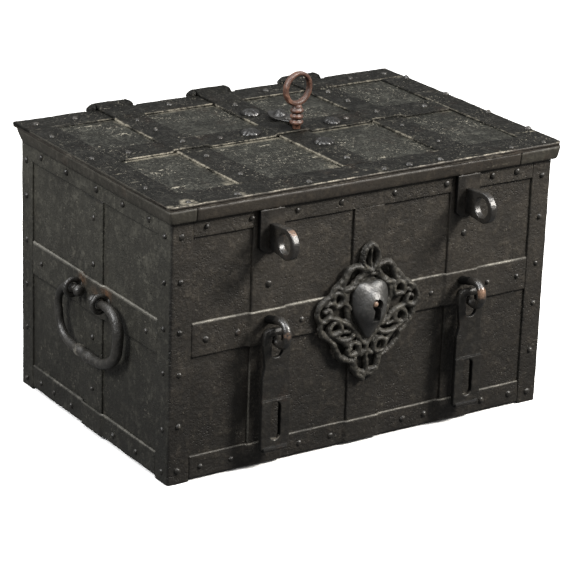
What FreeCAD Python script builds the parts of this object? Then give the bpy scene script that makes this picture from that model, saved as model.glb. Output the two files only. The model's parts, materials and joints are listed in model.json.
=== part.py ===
import FreeCAD, Part
import os
import math

V = FreeCAD.Vector

# Small wrought-iron coffer: plates and straps riveted into a box, flat lid
# with a four-way bolt lock, hasps, drop handles and a false front keyhole.
# Millimetres. X runs along the front, Y to the back, Z up. The origin is the
# centre of the underside, which stands on the floor.

# ---------------------------------------------------------------- dimensions
HX = 250.0            # half width over the corner irons
HY = 167.4            # half depth over the corner irons
TS = 2.4              # strap thickness
TP = 3.0              # plate thickness
Z_WALL = 311.7        # top of the walls
Z_LID0 = 312.2        # underside of the lid plate
Z_LID1 = 315.2        # top of the lid plate
Z_TOP = 317.6         # top of the lid straps
CORNER = 26.5         # leg of the corner irons
STRAP = 40.0          # strap width
FOOT = 3.2            # straps start this far above the floor
TF = 4.6              # floor thickness
Z_TOPBAND = 277.5     # lower edge of the top bands
Z_MID0, Z_MID1 = 143.0, 182.5
Z_BOT = 30.0
UPX = (-129.5, 0.0, 129.0)    # uprights on the front and back
UPY = -2.0                    # upright on the ends
RIV_R, RIV_H = 3.4, 2.3       # small rivet heads

LID_X = 258.3         # half width of the lid
LID_Y0 = -175.7       # front edge of the lid
LID_Y1 = 172.5        # back edge of the lid
NOTCH_Y = 168.6       # bottom of its notches at the hinges
RIM_Z = 297.1         # lower edge of the lid rim
LS_X = 223.0          # inner edge of the lid's end straps
LS_Y0, LS_Y1 = -136.0, 133.0  # inner edges of the lid's front and back straps
LM_Y0, LM_Y1 = -9.0, 32.0     # lid middle strap
LCX = (-131.0, 3.0, 131.0)    # lid cross straps

AX_Y, AX_Z = 176.0, 317.5     # lid hinge axis
KN_R, PIN_R = 6.5, 2.6        # hinge knuckle and pin

HASP_Y, HASP_Z = -188.0, 164.0   # hasp pivot
HASP_X = (-129.5, 129.0)
LOOP_Z = 267.0        # padlock loop centre
LOOP_Y = -202.0       # its hole
LOOP_R = 11.4

EYE_X, EYE_Z = 260.5, 167.0      # handle pivot
EYE_DY = 30.5                    # eyes either side of the handle's middle
HANDLE_Y = -5.0                  # middle of the handle
BAIL_R = 4.9

KX, KY = 12.5, 0.5    # key axis
PIN_ARC = 14.0        # radius of the star's pins
TRAVEL = 14.0         # throw of the bolts

os.makedirs("parts", exist_ok=True)
NODES = {}


# ------------------------------------------------------------------- helpers
def put(name, *shapes):
    NODES[name] = list(shapes)


def box(x0, x1, y0, y1, z0, z1):
    return Part.makeBox(x1 - x0, y1 - y0, z1 - z0, V(x0, y0, z0))


def cyl(p, d, r, h):
    return Part.makeCylinder(r, h, V(*p), V(*d))


def poly(points, vec):
    pts = [V(*p) for p in points]
    return Part.Face(Part.makePolygon(pts + [pts[0]])).extrude(V(*vec))


def fuse(*shapes):
    s = shapes[0]
    if len(shapes) > 1:
        s = s.fuse(list(shapes[1:]))
    return s.removeSplitter()


def joggle(a, b, bumps, half, base, ramp=5.0):
    """Path (position, height) of a strap that climbs over crossing straps."""
    path = [(a, base)]
    for c in bumps:
        path += [(c - half - 0.4 - ramp, base), (c - half - 0.4, base + TS),
                 (c + half + 0.4, base + TS), (c + half + 0.4 + ramp, base)]
    return path + [(b, base)]


def strap_front(x0, x1, z0, z1, bumps, back=False):
    path = joggle(x0, x1, bumps, STRAP / 2, HY - TS)
    s = 1.0 if back else -1.0
    pts = [(x, s * h, z0) for x, h in path]
    pts += [(x, s * (h + TS), z0) for x, h in reversed(path)]
    return poly(pts, (0, 0, z1 - z0))


def strap_end(side, y0, y1, z0, z1, bumps):
    path = joggle(y0, y1, bumps, STRAP / 2, HX - TS)
    pts = [(side * h, y, z0) for y, h in path]
    pts += [(side * (h + TS), y, z0) for y, h in reversed(path)]
    return poly(pts, (0, 0, z1 - z0))


def cap(r, h):
    """Domed head on the plane z = 0, as a slice of a ball."""
    R = (r * r + h * h) / (2 * h)
    ball = Part.makeSphere(R, V(0, 0, h - R))
    return ball.common(Part.makeBox(4 * R, 4 * R, 4 * R, V(-2 * R, -2 * R, 0)))


def rivet(p, n, r=RIV_R, h=RIV_H, shank=TS + TP, sr=2.2):
    """Domed rivet with its shank going into the work."""
    s = cap(r, h).fuse(Part.makeCylinder(sr, shank, V(0, 0, -shank)))
    s = s.removeSplitter()
    s.Placement = FreeCAD.Placement(V(*p), FreeCAD.Rotation(V(0, 0, 1), V(*n)))
    return s


def revolve(profile, p, d):
    """Solid of revolution: profile is (radius, height) about the local Z."""
    pts = [V(r, 0, z) for r, z in profile]
    f = Part.Face(Part.makePolygon(pts + [pts[0]]))
    s = f.revolve(V(0, 0, 0), V(0, 0, 1), 360)
    s.Placement = FreeCAD.Placement(V(*p), FreeCAD.Rotation(V(0, 0, 1), V(*d)))
    return s


def bar(points, r):
    """Round bar along straight runs joined by arcs; points are (xyz, radius)."""
    edges = []
    last = V(*points[0][0])
    for i in range(1, len(points) - 1):
        p, rad = V(*points[i][0]), points[i][1]
        a = (V(*points[i - 1][0]) - p).normalize()
        b = (V(*points[i + 1][0]) - p).normalize()
        ang = a.getAngle(b)
        t = rad / math.tan(ang / 2)
        s, e = p + a * t, p + b * t
        m = (a + b).normalize()
        mid = p + m * (rad / math.sin(ang / 2) - rad)
        edges.append(Part.LineSegment(last, s).toShape())
        edges.append(Part.Arc(s, mid, e).toShape())
        last = e
    edges.append(Part.LineSegment(last, V(*points[-1][0])).toShape())
    w = Part.Wire(edges)
    d = V(*points[1][0]) - V(*points[0][0])
    c = Part.Wire(Part.makeCircle(r, V(*points[0][0]), d))
    return w.makePipeShell([c], True, True)


# ----------------------------------------------------------------- box plates
PX, PY = HX - TS, HY - TS
IX, IY = PX - TP, PY - TP
put("floor_plate", box(-IX, IX, -IY, IY, 0, TF))
put("front_plate", box(-PX, PX, -PY, -IY, FOOT, Z_WALL))
put("back_plate", box(-PX, PX, IY, PY, FOOT, Z_WALL))
put("left_plate", box(-PX, -IX, -IY, IY, FOOT, Z_WALL))
put("right_plate", box(IX, PX, -IY, IY, FOOT, Z_WALL))

# corner irons, L in plan
for nm, sx, sy in (("front_left", -1, -1), ("front_right", 1, -1),
                   ("back_left", -1, 1), ("back_right", 1, 1)):
    pts = [(HX, HY), (HX, HY - CORNER), (PX, HY - CORNER), (PX, PY),
           (HX - CORNER, PY), (HX - CORNER, HY)]
    put(nm + "_corner_iron",
        poly([(sx * x, sy * y, 0) for x, y in pts], (0, 0, Z_WALL)))

SX, SY = HX - CORNER, HY - CORNER
put("front_top_strap", strap_front(-SX, SX, Z_TOPBAND, Z_WALL, ()))
put("front_middle_strap", strap_front(-SX, SX, Z_MID0, Z_MID1, UPX))
put("front_bottom_strap", strap_front(-SX, SX, FOOT, Z_BOT, UPX))
put("front_uprights", *[box(c - STRAP / 2, c + STRAP / 2, -HY, -PY, FOOT, Z_TOPBAND) for c in UPX])

put("back_top_strap", strap_front(-SX, SX, Z_TOPBAND, Z_WALL, (), True))
put("back_middle_strap", strap_front(-SX, SX, Z_MID0, Z_MID1, (), True))
put("back_bottom_strap", strap_front(-SX, SX, FOOT, Z_BOT, (), True))

put("end_top_straps", *[strap_end(s, -SY, SY, Z_TOPBAND, Z_WALL, ()) for s in (-1, 1)])
put("end_middle_straps", *[strap_end(s, -SY, SY, Z_MID0, Z_MID1 + 1, (UPY,)) for s in (-1, 1)])
put("end_bottom_straps", *[strap_end(s, -SY, SY, FOOT, Z_BOT + 1, (UPY,)) for s in (-1, 1)])
put("end_uprights", *[box(min(s * PX, s * HX), max(s * PX, s * HX), UPY - STRAP / 2, UPY + STRAP / 2, FOOT, Z_TOPBAND) for s in (-1, 1)])

# bars inside the mouth of the box, for the bolts to catch under
RB = 14.0
put("rim_bars",
    box(-IX, IX, -IY, -IY + RB, 305.7, Z_WALL),
    box(-IX, IX, IY - RB, IY, 305.7, Z_WALL),
    box(-IX, -IX + RB, -IY + RB, IY - RB, 305.7, Z_WALL),
    box(IX - RB, IX, -IY + RB, IY - RB, 305.7, Z_WALL))

# --------------------------------------------------------------------- hinges
LK = 19.7             # half width of the lid knuckle
BK0, BK1 = 20.2, 31.0  # body knuckles each side of it
leaves, pins = [], []
for c in LCX:
    # leaf laid over the back bands, stepping down to the plate between them
    b = HY - TS
    path = [(FOOT, b + TS), (Z_BOT + 0.4, b + TS), (Z_BOT + 5.4, b), (Z_MID0 - 5.4, b),
            (Z_MID0 - 0.4, b + TS), (Z_MID1 + 0.4, b + TS), (Z_MID1 + 5.4, b),
            (Z_TOPBAND - 5.4, b), (Z_TOPBAND - 0.4, b + TS), (300.0, b + TS)]
    pts = [(c - STRAP / 2, y, z) for z, y in path]
    pts += [(c - STRAP / 2, y + TS, z) for z, y in reversed(path)]
    leaf = poly(pts, (STRAP, 0, 0))
    head = box(c - BK1, c + BK1, HY, HY + TS, 284.0, 303.0)
    parts = [leaf, head]
    for s in (-1, 1):
        xa, xb = (c + BK0, c + BK1) if s > 0 else (c - BK1, c - BK0)
        # barrel that tapers off to its outer end
        xi = c + s * BK0
        ring = cyl((xi, AX_Y, AX_Z), (s, 0, 0), KN_R, 1.6).fuse(
            Part.makeCone(KN_R, 3.2, BK1 - BK0 - 1.6, V(xi + s * 1.6, AX_Y, AX_Z), V(s, 0, 0)))
        arm = poly([(xa, HY, 290), (xa, HY + TS, 290),
                    (xa, AX_Y + KN_R * math.cos(math.radians(-45)), AX_Z + KN_R * math.sin(math.radians(-45))),
                    (xa, AX_Y, AX_Z),
                    (xa, AX_Y + KN_R * math.cos(math.radians(232)), AX_Z + KN_R * math.sin(math.radians(232))),
                    (xa, HY, 303)], (xb - xa, 0, 0))
        parts.append(fuse(ring, arm))
    hole = cyl((c - BK1 + 2.0, AX_Y, AX_Z), (1, 0, 0), PIN_R + 0.05, 2 * BK1 - 4.0)
    leaves.append(fuse(*parts).cut(hole))
    pins.append(fuse(cyl((c - BK1 + 2.2, AX_Y, AX_Z), (1, 0, 0), PIN_R, 2 * BK1 - 4.4)))
put("hinge_leaves", *leaves)
put("hinge_pins", *pins)

# --------------------------------------------------------- front: hasp staples
staples = []
for c in HASP_X:
    # ring drawn in to its two legs: straight legs tangent to a round front
    yc, R, y0, z0 = -195.2, 13.3, -IY, 5.4
    D = math.hypot(y0 - yc, z0)
    g = math.asin(R / D) - math.atan2(z0, y0 - yc)
    L = math.sqrt(D * D - R * R)
    ty, tz = y0 - L * math.cos(g), z0 + L * math.sin(g)
    p = [V(c, y0, HASP_Z + z0), V(c, ty, HASP_Z + tz), V(c, yc - R, HASP_Z), V(c, ty, HASP_Z - tz), V(c, y0, HASP_Z - z0)]
    w = Part.Wire([Part.LineSegment(p[0], p[1]).toShape(), Part.Arc(p[1], p[2], p[3]).toShape(),
                   Part.LineSegment(p[3], p[4]).toShape()])
    circ = Part.Wire(Part.makeCircle(4.3, p[0], V(0, -math.cos(g), math.sin(g))))
    staples.append(w.makePipeShell([circ], True, True))
put("hasp_staples", *staples)

# --------------------------------------------------------------- front: hasps
for nm, c in (("left_hasp", HASP_X[0]), ("right_hasp", HASP_X[1])):
    th = 5.0
    out = [(-11, 4.2), (11, 4.2), (15.5, 1), (17, -6), (17, -22), (15.2, -36), (15.2, -42), (17.8, -52), (18.4, -134),
           (15.5, -138), (-15.5, -138), (-18.4, -134), (-17.8, -52), (-15.2, -42), (-15.2, -36), (-17, -22), (-17, -6), (-15.5, 1)]
    body = poly([(c + x, HASP_Y - th / 2, HASP_Z + z) for x, z in out], (0, th, 0))
    win = box(c - 7.0, c + 7.0, HASP_Y - 9, HASP_Y + 9, HASP_Z - 22.5, HASP_Z - 4.4)
    win = win.fuse(cyl((c, HASP_Y - 9, HASP_Z - 22.5), (0, 1, 0), 7.0, 18))
    slot = box(c - 6, c + 6, HASP_Y - 9, HASP_Y + 9, HASP_Z - 119, HASP_Z - 87)
    for dz in (-119, -87):
        slot = slot.fuse(cyl((c, HASP_Y - 9, HASP_Z + dz), (0, 1, 0), 6, 18))
    lip = cyl((c - 15.5, HASP_Y - 2.6, HASP_Z - 135), (1, 0, 0), 3.0, 31)
    pad = box(c - 18.4, c + 18.4, HASP_Y - th / 2 - 1.2, HASP_Y, HASP_Z - 134, HASP_Z - 78)
    eye_bar = cyl((c - 11, HASP_Y, HASP_Z), (1, 0, 0), 4.2, 22)     # round bar that the staple holds
    put(nm, fuse(body, lip, pad, eye_bar).cut(win).cut(slot))

# -------------------------------------------------- front: false lock escutcheon
EY = -HY - TS          # back of the escutcheon, on the crossing of the straps
ET = 3.0
EC = 162.0
rings = [(0, 68, 13, 5)]
for s in (-1, 1):
    rings += [(s * 24, 46, 15, 6), (s * 43, 24, 15, 6), (s * 55, 0, 13, 5), (s * 43, -24, 15, 6), (s * 24, -46, 15, 6)]
rings += [(0, -68, 13, 5)]
web = poly([(x, EY - ET, EC + z) for x, z in ((0, 62), (48, 0), (0, -62), (-48, 0))], (0, ET, 0))
disc = [cyl((x, EY - ET, EC + z), (0, 1, 0), R, ET) for x, z, R, r in rings]
hol = [cyl((x, EY - ET - 1, EC + z), (0, 1, 0), r, ET + 2) for x, z, R, r in rings]
put("escutcheon_plate", fuse(web, *disc).cut(hol[0].fuse(hol[1:])))


def shield(k, y):
    pts = [(0, 24), (10, 29), (19, 25.5), (23, 16), (22.5, 4), (18, -10), (10, -24), (0, -36),
           (-10, -24), (-18, -10), (-22.5, 4), (-23, 16), (-19, 25.5), (-10, 29)]
    p = [V(x * k, y, EC + 2 + z * k) for x, z in pts]
    return Part.makePolygon(p + [p[0]])


boss = Part.makeLoft([shield(1.0, EY - ET), shield(0.97, EY - ET - 7), shield(0.8, EY - ET - 14),
                      shield(0.42, EY - ET - 19)], True, True)
keyhole = cyl((0, EY - ET - 30, EC + 9), (0, 1, 0), 5.6, 30).fuse(
    box(-3.5, 3.5, EY - ET - 30, EY - ET, EC - 10, EC + 9))
put("escutcheon_boss", boss.cut(keyhole))
put("false_keyhole_pin", cyl((0, EY - ET - 15, EC + 9), (0, 1, 0), 4.4, 15).fuse(
    Part.makeSphere(4.4, V(0, EY - ET - 15, EC + 9)).common(box(-9, 9, EY - ET - 30, EY - ET - 14.5, EC - 5, EC + 25))).removeSplitter())

# -------------------------------------------------------------- ends: handles
eyes = []
for s in (-1, 1):
    for dy in (-EYE_DY, EYE_DY):
        y = HANDLE_Y + dy
        t = Part.makeTorus(9.0, 3.2, V(s * EYE_X, y, EYE_Z), V(0, 1, 0))
        stem = cyl((s * IX, y, EYE_Z), (s, 0, 0), 3.4, EYE_X - 8.4 - IX)
        collar = revolve([(0, 0), (6.4, 0), (6.4, 0.8), (4.6, 1.8), (0, 1.8)], (s * HX, y, EYE_Z), (s, 0, 0))
        eyes.append(fuse(t, stem, collar))
put("handle_eyes", *eyes)

for nm, s in (("left_handle", -1), ("right_handle", 1)):
    x = s * EYE_X
    zb = EYE_Z - 69.5
    y0, y1 = HANDLE_Y - 72, HANDLE_Y + 63.5
    pts = [((x, HANDLE_Y - 17, EYE_Z), 0), ((x, y0, EYE_Z), 22), ((x, y0, zb), 44),
           ((x, y1, zb), 40), ((x, y1, EYE_Z), 22), ((x, HANDLE_Y + 17, EYE_Z), 0)]
    b = bar(pts, BAIL_R)
    knob = [revolve([(0, 0), (6.4, 1.0), (7.4, 3.5), (6.4, 6.0), (0, 7.0)], (x, HANDLE_Y + q * 18.0, EYE_Z), (0, -q, 0)) for q in (-1, 1)]
    grip = revolve([(0, -19), (5.0, -19), (6.8, -14), (7.6, -10.5), (6.8, -7), (5.5, -3), (5.5, 3), (6.8, 7), (7.6, 10.5),
                    (6.8, 14), (5.0, 19), (0, 19)], (x, HANDLE_Y + 2, zb), (0, 1, 0))
    put(nm, fuse(b, grip, *knob))

# ------------------------------------------------------------------------ lid
lid = box(-LID_X + 1.3, LID_X - 1.3, LID_Y0 + 1.3, LID_Y1, Z_LID0, Z_LID1)
notches = [box(c - 33.0, c + 33.0, NOTCH_Y, 200, 300, 340) for c in LCX]
notch = notches[0].fuse(notches[1:])


def keyway(z0, z1, r, w, reach):
    return cyl((KX, KY, z0), (0, 0, 1), r, z1 - z0).fuse(box(KX - w / 2, KX + w / 2, KY, KY + reach, z0, z1))


lid_key = keyway(305, 330, 5.6, 5.6, 19.5)
put("lid_plate", lid.cut(lid_key).cut(notch))
put("lid_front_strap", box(-LID_X, LID_X, LID_Y0, LS_Y0, Z_LID1, Z_TOP))
put("lid_back_strap", box(-LID_X, LID_X, LS_Y1, LID_Y1, Z_LID1, Z_TOP).cut(notch))
put("lid_left_strap", box(-LID_X, -LS_X, LS_Y0, LS_Y1, Z_LID1, Z_TOP))
put("lid_right_strap", box(LS_X, LID_X, LS_Y0, LS_Y1, Z_LID1, Z_TOP))
path = joggle(-LS_X, LS_X, LCX, STRAP / 2, Z_LID1)
pts = [(x, LM_Y0, z) for x, z in path] + [(x, LM_Y0, z + TS) for x, z in reversed(path)]
put("lid_middle_strap", poly(pts, (0, LM_Y1 - LM_Y0, 0)).cut(lid_key))

hs = []
for c in LCX:
    x0 = c - STRAP / 2
    path = [(LS_Y0, Z_LID1), (LS_Y1 - 5.4, Z_LID1), (LS_Y1 - 0.4, Z_TOP), (163.0, Z_TOP)]
    pts = [(x0, y, z) for y, z in path] + [(x0, y, z + TS) for y, z in reversed(path)]
    flat = poly(pts, (STRAP, 0, 0))
    ring = cyl((c - LK, AX_Y, AX_Z), (1, 0, 0), KN_R, 2 * LK)
    arm = poly([(c - LK, 162.0, Z_TOP), (c - LK, 162.0, Z_TOP + TS), (c - LK, 166.5, Z_TOP + 3.4), (c - LK, 171.0, 321.6),
                (c - LK, 174.5, AX_Z + 6.3), (c - LK, AX_Y, AX_Z), (c - LK, 170.2, Z_TOP)], (2 * LK, 0, 0))
    s = fuse(flat, arm, ring).cut(cyl((c - 40, AX_Y, AX_Z), (1, 0, 0), PIN_R + 0.05, 80))
    if c == LCX[1]:
        s = s.cut(lid_key)
    hs.append(s)
put("lid_hinge_straps", *hs)

# rim under the lid's edge on the front and both ends
def rect(x, y0, y1, z):
    p = [V(-x, y0, z), V(x, y0, z), V(x, y1, z), V(-x, y1, z)]
    return Part.makePolygon(p + [p[0]])


RIN_X, RIN_Y = 251.4, -168.8
rim = Part.makeLoft([rect(254.0, -172.6, LID_Y1, RIM_Z), rect(255.6, -173.6, LID_Y1, RIM_Z + 3.5),
                     rect(257.0, -174.4, LID_Y1, Z_LID0)], True, True)
rim = rim.cut(box(-RIN_X, RIN_X, RIN_Y, LID_Y1 + 1, RIM_Z - 1, Z_LID0 + 1))
JL, JR = -223.0, 200.0
put("lid_front_rim", rim.common(box(JL, JR, LID_Y0 - 5, -150, RIM_Z - 1, Z_LID0 + 1)))
left = rim.common(box(-300, JL, -300, 300, RIM_Z - 1, Z_LID0 + 1))
right = rim.common(box(JR, 300, -300, 300, RIM_Z - 1, Z_LID0 + 1))
put("lid_left_rim", left)
put("lid_right_rim", right)

# tongues hung under the front rim on two studs each, with their padlock loops
TY = -173.6           # front of the tongues
TT = 4.8
tongues, loops = [], []
for c in HASP_X:
    t = box(c - 15.5, c + 15.5, TY, TY + TT, 249.0, RIM_Z)
    t = t.cut(poly([(c - 16, TY - 1, 248), (c - 9, TY - 1, 248), (c - 16, TY - 1, 255)], (0, TT + 2, 0)))
    t = t.cut(poly([(c + 16, TY - 1, 248), (c + 9, TY - 1, 248), (c + 16, TY - 1, 255)], (0, TT + 2, 0)))
    t = fuse(t, *[cyl((c + q * 9.5, -170.7, RIM_Z - 4), (0, 0, 1), 1.3, 13.0) for q in (-1, 1)])
    tongues.append(t)
    R = 17.4
    yc = LOOP_Y - 1.1
    body = poly([(c - 4, TY, LOOP_Z - 14.5), (c - 4, yc, LOOP_Z - R), (c - 4, yc, LOOP_Z + R), (c - 4, TY, LOOP_Z + 14.5)], (8, 0, 0))
    body = body.fuse(cyl((c - 4, yc, LOOP_Z), (1, 0, 0), R, 8)).removeSplitter()
    body = body.cut(cyl((c - 9, LOOP_Y, LOOP_Z), (1, 0, 0), LOOP_R, 18))
    tenon = [cyl((c, TY + TT, LOOP_Z + q * 9), (0, -1, 0), 3.0, 9) for q in (-1, 1)]
    loops.append(fuse(body, *tenon))
put("padlock_tongues", *tongues)
put("padlock_loops", *loops)

# ----------------------------------------------------------------------- lock
LPX, LPY = 228.0, 146.0
Z_LP = Z_LID0 - 2.5
put("lock_plate", box(-LPX, LPX, -LPY, LPY, Z_LP, Z_LID0).cut(lid_key))

SZ0, SZ1 = 304.7, 308.7
star = cyl((KX, KY, SZ0), (0, 0, 1), 22.0, SZ1 - SZ0)
star = star.cut(keyway(SZ0 - 1, SZ1 + 1, 4.8, 4.6, 18.0))
spin = [cyl((KX + PIN_ARC * math.cos(math.radians(a)), KY + PIN_ARC * math.sin(math.radians(a)), z), (0, 0, 1), 2.5, SZ0 - z)
        for a, z in ((30, 300.9), (120, 296.9), (210, 300.9), (300, 296.9))]
put("lock_star", fuse(star, *spin))

A1 = (301.2, 304.2)    # level of the front and back bolts
A2 = (297.7, 300.7)    # level of the end bolts
HD = (297.0, 304.2)    # bolt heads
HFX, HFY = 105.0, 68.0
q = PIN_ARC / 2
cw = PIN_ARC * math.cos(math.radians(30))


def tslot(cx, cy, along_x, z):
    lo, hi = cw - 2.5 - 0.6, PIN_ARC + 2.5 + 0.6
    if along_x:
        s = math.copysign(1, cx)
        a, b = sorted((KX + s * lo, KX + s * hi))
        return box(a, b, KY + cy - 3.1, KY + cy + 3.1, z[0] - 1, z[1] + 1)
    s = math.copysign(1, cy)
    a, b = sorted((KY + s * lo, KY + s * hi))
    return box(KX + cx - 3.1, KX + cx + 3.1, a, b, z[0] - 1, z[1] + 1)


def bolt(tail, cross, heads, slot):
    return fuse(tail, cross, *heads).cut(slot)


put("front_bolt", bolt(
    box(KX + 6.2, KX + 19.8, -118, KY + q + 5.5, *A1), box(-113, 113, -118, -106, *A1),
    [box(s * HFX - 8, s * HFX + 8, -145.5, -112, *HD) for s in (-1, 1)],
    tslot(cw, q, True, A1).fuse(box(KX + 5, KX + 10.4, KY - 16, KY - 6, 295, 306))))
put("back_bolt", bolt(
    box(KX - 19.8, KX - 6.2, KY - q - 5.5, 118, *A1), box(-113, 113, 106, 118, *A1),
    [box(s * HFX - 8, s * HFX + 8, 112, 145.5, *HD) for s in (-1, 1)],
    tslot(-cw, -q, True, A1).fuse(box(KX - 10.4, KX - 5, KY + 6, KY + 16, 295, 306))))
put("left_bolt", bolt(
    box(-200, KX + q + 5.5, KY - 19.8, KY - 6.2, *A2), box(-200, -188, -76, 76, *A2),
    [box(-228.1, -194, s * HFY - 8, s * HFY + 8, *HD) for s in (-1, 1)], tslot(q, -cw, False, A2)))
put("right_bolt", bolt(
    box(KX - q - 5.5, 200, KY + 6.2, KY + 19.8, *A2), box(188, 200, -76, 76, *A2),
    [box(194, 228.1, s * HFY - 8, s * HFY + 8, *HD) for s in (-1, 1)], tslot(-q, cw, False, A2)))

guides = []
for sy in (-1, 1):
    for sx in (-1, 1):
        c = sx * HFX
        y0, y1 = sorted((sy * 144.0, sy * 137.0))
        u = box(c - 12.8, c + 12.8, y0, y1, 293.2, Z_LP).cut(box(c - 8.7, c + 8.7, y0 - 1, y1 + 1, 296.4, Z_LP + 1))
        guides.append(u)
        c = sy * HFY
        x0, x1 = sorted((sx * 227.0, sx * 220.0))
        u = box(x0, x1, c - 12.8, c + 12.8, 293.2, Z_LP).cut(box(x0 - 1, x1 + 1, c - 8.7, c + 8.7, 296.4, Z_LP + 1))
        guides.append(u)
put("bolt_guides", *guides)

# bridge under the star, with the pin that the pipe key turns on
br = box(-46, 46, -6.5, 6.5, 292.6, 296.0)
br = br.fuse([cyl((s * 40, 0, 292.6), (0, 0, 1), 5.0, Z_LP - 292.6) for s in (-1, 1)] +
             [cyl((0, 0, 292.6), (0, 0, 1), 2.0, 20.0)]).removeSplitter()
br.Placement = FreeCAD.Placement(V(KX, KY, 0), FreeCAD.Rotation(V(0, 0, 1), 45))
put("lock_bridge", br)

# key: pipe shank, bit, collars and ring bow
prof = [(0, 297.5), (4.4, 297.5), (4.4, 322.6), (5.7, 323.4), (5.7, 324.6), (7.4, 325.2), (7.9, 327), (7.4, 328.8), (5.6, 329.6),
        (5.6, 331), (7.0, 331.8), (7.5, 333.6), (7.0, 335.4), (5.5, 336.4), (5.5, 338), (7.2, 338.8), (7.7, 340.8), (7.2, 342.6),
        (5.7, 343.4), (5.7, 346.6), (0, 346.6)]
shank = revolve(prof, (KX, KY, 0), (0, 0, 1))
BZ = 366.0
bow = Part.makeCylinder(20.4, 7.2, V(KX, KY - 3.6, BZ), V(0, 1, 0)).cut(Part.makeCylinder(15.2, 10.0, V(KX, KY - 5, BZ), V(0, 1, 0)))
bow = bow.makeFillet(2.0, bow.Edges)
bit = box(KX - 1.9, KX + 1.9, KY + 1, KY + 17.0, 304.9, 308.5)
key = fuse(shank, bow, bit).cut(cyl((KX, KY, 296), (0, 0, 1), 2.3, 18.0))
put("key", key)

# keyhole cover with its domed boss, swung to the back, and its pivot pin
CX, CY = KX + 6.0, KY + 27.0
ZC = Z_TOP + TS + 0.25
out = [(-3, -8), (3, -8), (8, -2), (12, 9), (12.5, 17), (10.5, 25), (6, 34), (0, 41), (-6, 34), (-10.5, 25), (-12.5, 17), (-12, 9), (-8, -2)]
cov = poly([(CX + x, CY + y, ZC) for x, y in out], (0, 0, 2.0))
dome = cap(9.0, 5.5)
dome.translate(V(CX, CY + 17, ZC + 2.0))
cov = fuse(cov, dome).cut(cyl((CX, CY, ZC - 1), (0, 0, 1), 2.55, 5))
put("keyhole_cover", cov)
put("cover_pin", fuse(cyl((CX, CY, Z_LID0), (0, 0, 1), 2.5, ZC + 2.2 - Z_LID0), revolve(
    [(0, 0), (4.5, 0), (4.0, 1.2), (2.2, 2.0), (0, 2.2)], (CX, CY, ZC + 2.2), (0, 0, 1))))

# --------------------------------------------------------------------- rivets
riv = []
yf = -HY
for x in (-207.5, -152.0, -94.4, -38.0, 32.0, 102.4, 166.0, 200.2):
    riv.append(rivet((x, yf, 288.5), (0, -1, 0)))
for x in (-205.4, -165.5, -83.7, 89.0, 167.9, 209.5):
    riv.append(rivet((x, yf, 162.0), (0, -1, 0)))
for x in (-209.0, -170.0, -82.0, -40.0, 58.0, 88.0, 170.0, 209.5):
    riv.append(rivet((x, yf, 16.0), (0, -1, 0)))
for x, z in ((-128.0, 211.0), (130.4, 227.0)):
    riv.append(rivet((x, yf, z), (0, -1, 0)))
for z in (281.0, 231.5, 175.0, 126.5, 68.0, 16.0):
    riv.append(rivet((-237.5, yf, z), (0, -1, 0)))
    riv.append(rivet((237.0, yf, z - 2), (0, -1, 0)))
for x in (-205.0, -165.0, -60.0, 66.0, 168.0, 206.0):
    for z in (291.0, 162.0, 16.0):
        riv.append(rivet((x, HY, z), (0, 1, 0)))
for sx in (-1, 1):
    for z in (281.0, 231.5, 175.0, 126.5, 68.0, 16.0):
        riv.append(rivet((sx * 237.0, HY, z), (0, 1, 0)))
for s in (-1, 1):
    x = s * HX
    n = (s, 0, 0)
    for z in (276.0, 234.0, 181.0, 127.0, 74.0, 10.0):
        riv.append(rivet((x, 154.5, z), n))
    for z in (280.0, 229.0, 177.0, 127.0, 62.0, 13.0):
        riv.append(rivet((x, -154.5, z), n))
    for y in (119.0, 60.0, -8.0, -65.0, -121.0):
        riv.append(rivet((x, y, 288.5), n))
    for z in (254.0, 201.0, 115.0, 54.0):
        riv.append(rivet((x, UPY, z), n))
    for y in (118.0, -118.0):
        riv.append(rivet((x, y, 162.5), n))
    for y in (120.0, 88.0, 46.0, -50.0, -100.0):
        riv.append(rivet((x, y, 15.0), n))
put("body_rivets", *riv)

lr = []
up = (0, 0, 1)
ls = Z_TOP - Z_LID0
for x in (-230.0, -171.0, -81.0, 16.0, 50.0, 92.0, 190.0, 236.0):
    lr.append(rivet((x, -167.0, Z_TOP), up, shank=ls))
for y in (100.0, 8.0, -108.0):
    lr.append(rivet((-247.0, y, Z_TOP), up, shank=ls))
for y in (133.0 - 12, 41.0, -43.0, -117.0):
    lr.append(rivet((247.0, y, Z_TOP), up, shank=ls))
for x in (-240.0, -190.0, -66.0, 68.0, 190.0, 240.0):
    lr.append(rivet((x, 151.0, Z_TOP), up, shank=ls))
for c in (LCX[0], LCX[2]):
    for y in (-110.0, -40.0, 11.5, 70.0, 112.0):
        lift = TS if LM_Y0 < y < LM_Y1 else 0.0
        lr.append(rivet((c, y, Z_TOP + lift), up, shank=ls + lift))
for y in (-115.0, 116.0):
    lr.append(rivet((LCX[1], y, Z_TOP), up, shank=ls))
for x in (-200.0, -82.0, 88.0, 200.0):
    lr.append(rivet((x, 11.5, Z_TOP), up, shank=ls))
put("lid_rivets", *lr)
put("lock_rivets", *[rivet((x, y, Z_TOP), up, r=r, h=5.6, shank=Z_TOP - Z_LP, sr=4.0)
                     for x, y, r in ((-42, 11, 12.0), (66, 7, 10.5), (0, 78, 11.5), (13, -55, 12.0))])

# --------------------------------------------------------------------- export
for name, solids in NODES.items():
    sol = []
    for s in solids:
        if not s.isValid():
            s.fix(1e-4, 1e-4, 1e-4)
        if len(s.Solids) != 1:
            print("PIECES", name, len(s.Solids))
        if not s.isValid():
            print("INVALID", name)
        sol += s.Solids
    shape = sol[0] if len(sol) == 1 else Part.makeCompound(sol)
    shape.exportStep("parts/%s.step" % name)
print(len(NODES), "nodes", sum(len(v) for v in NODES.values()), "solids")
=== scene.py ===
import json
import math

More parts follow.
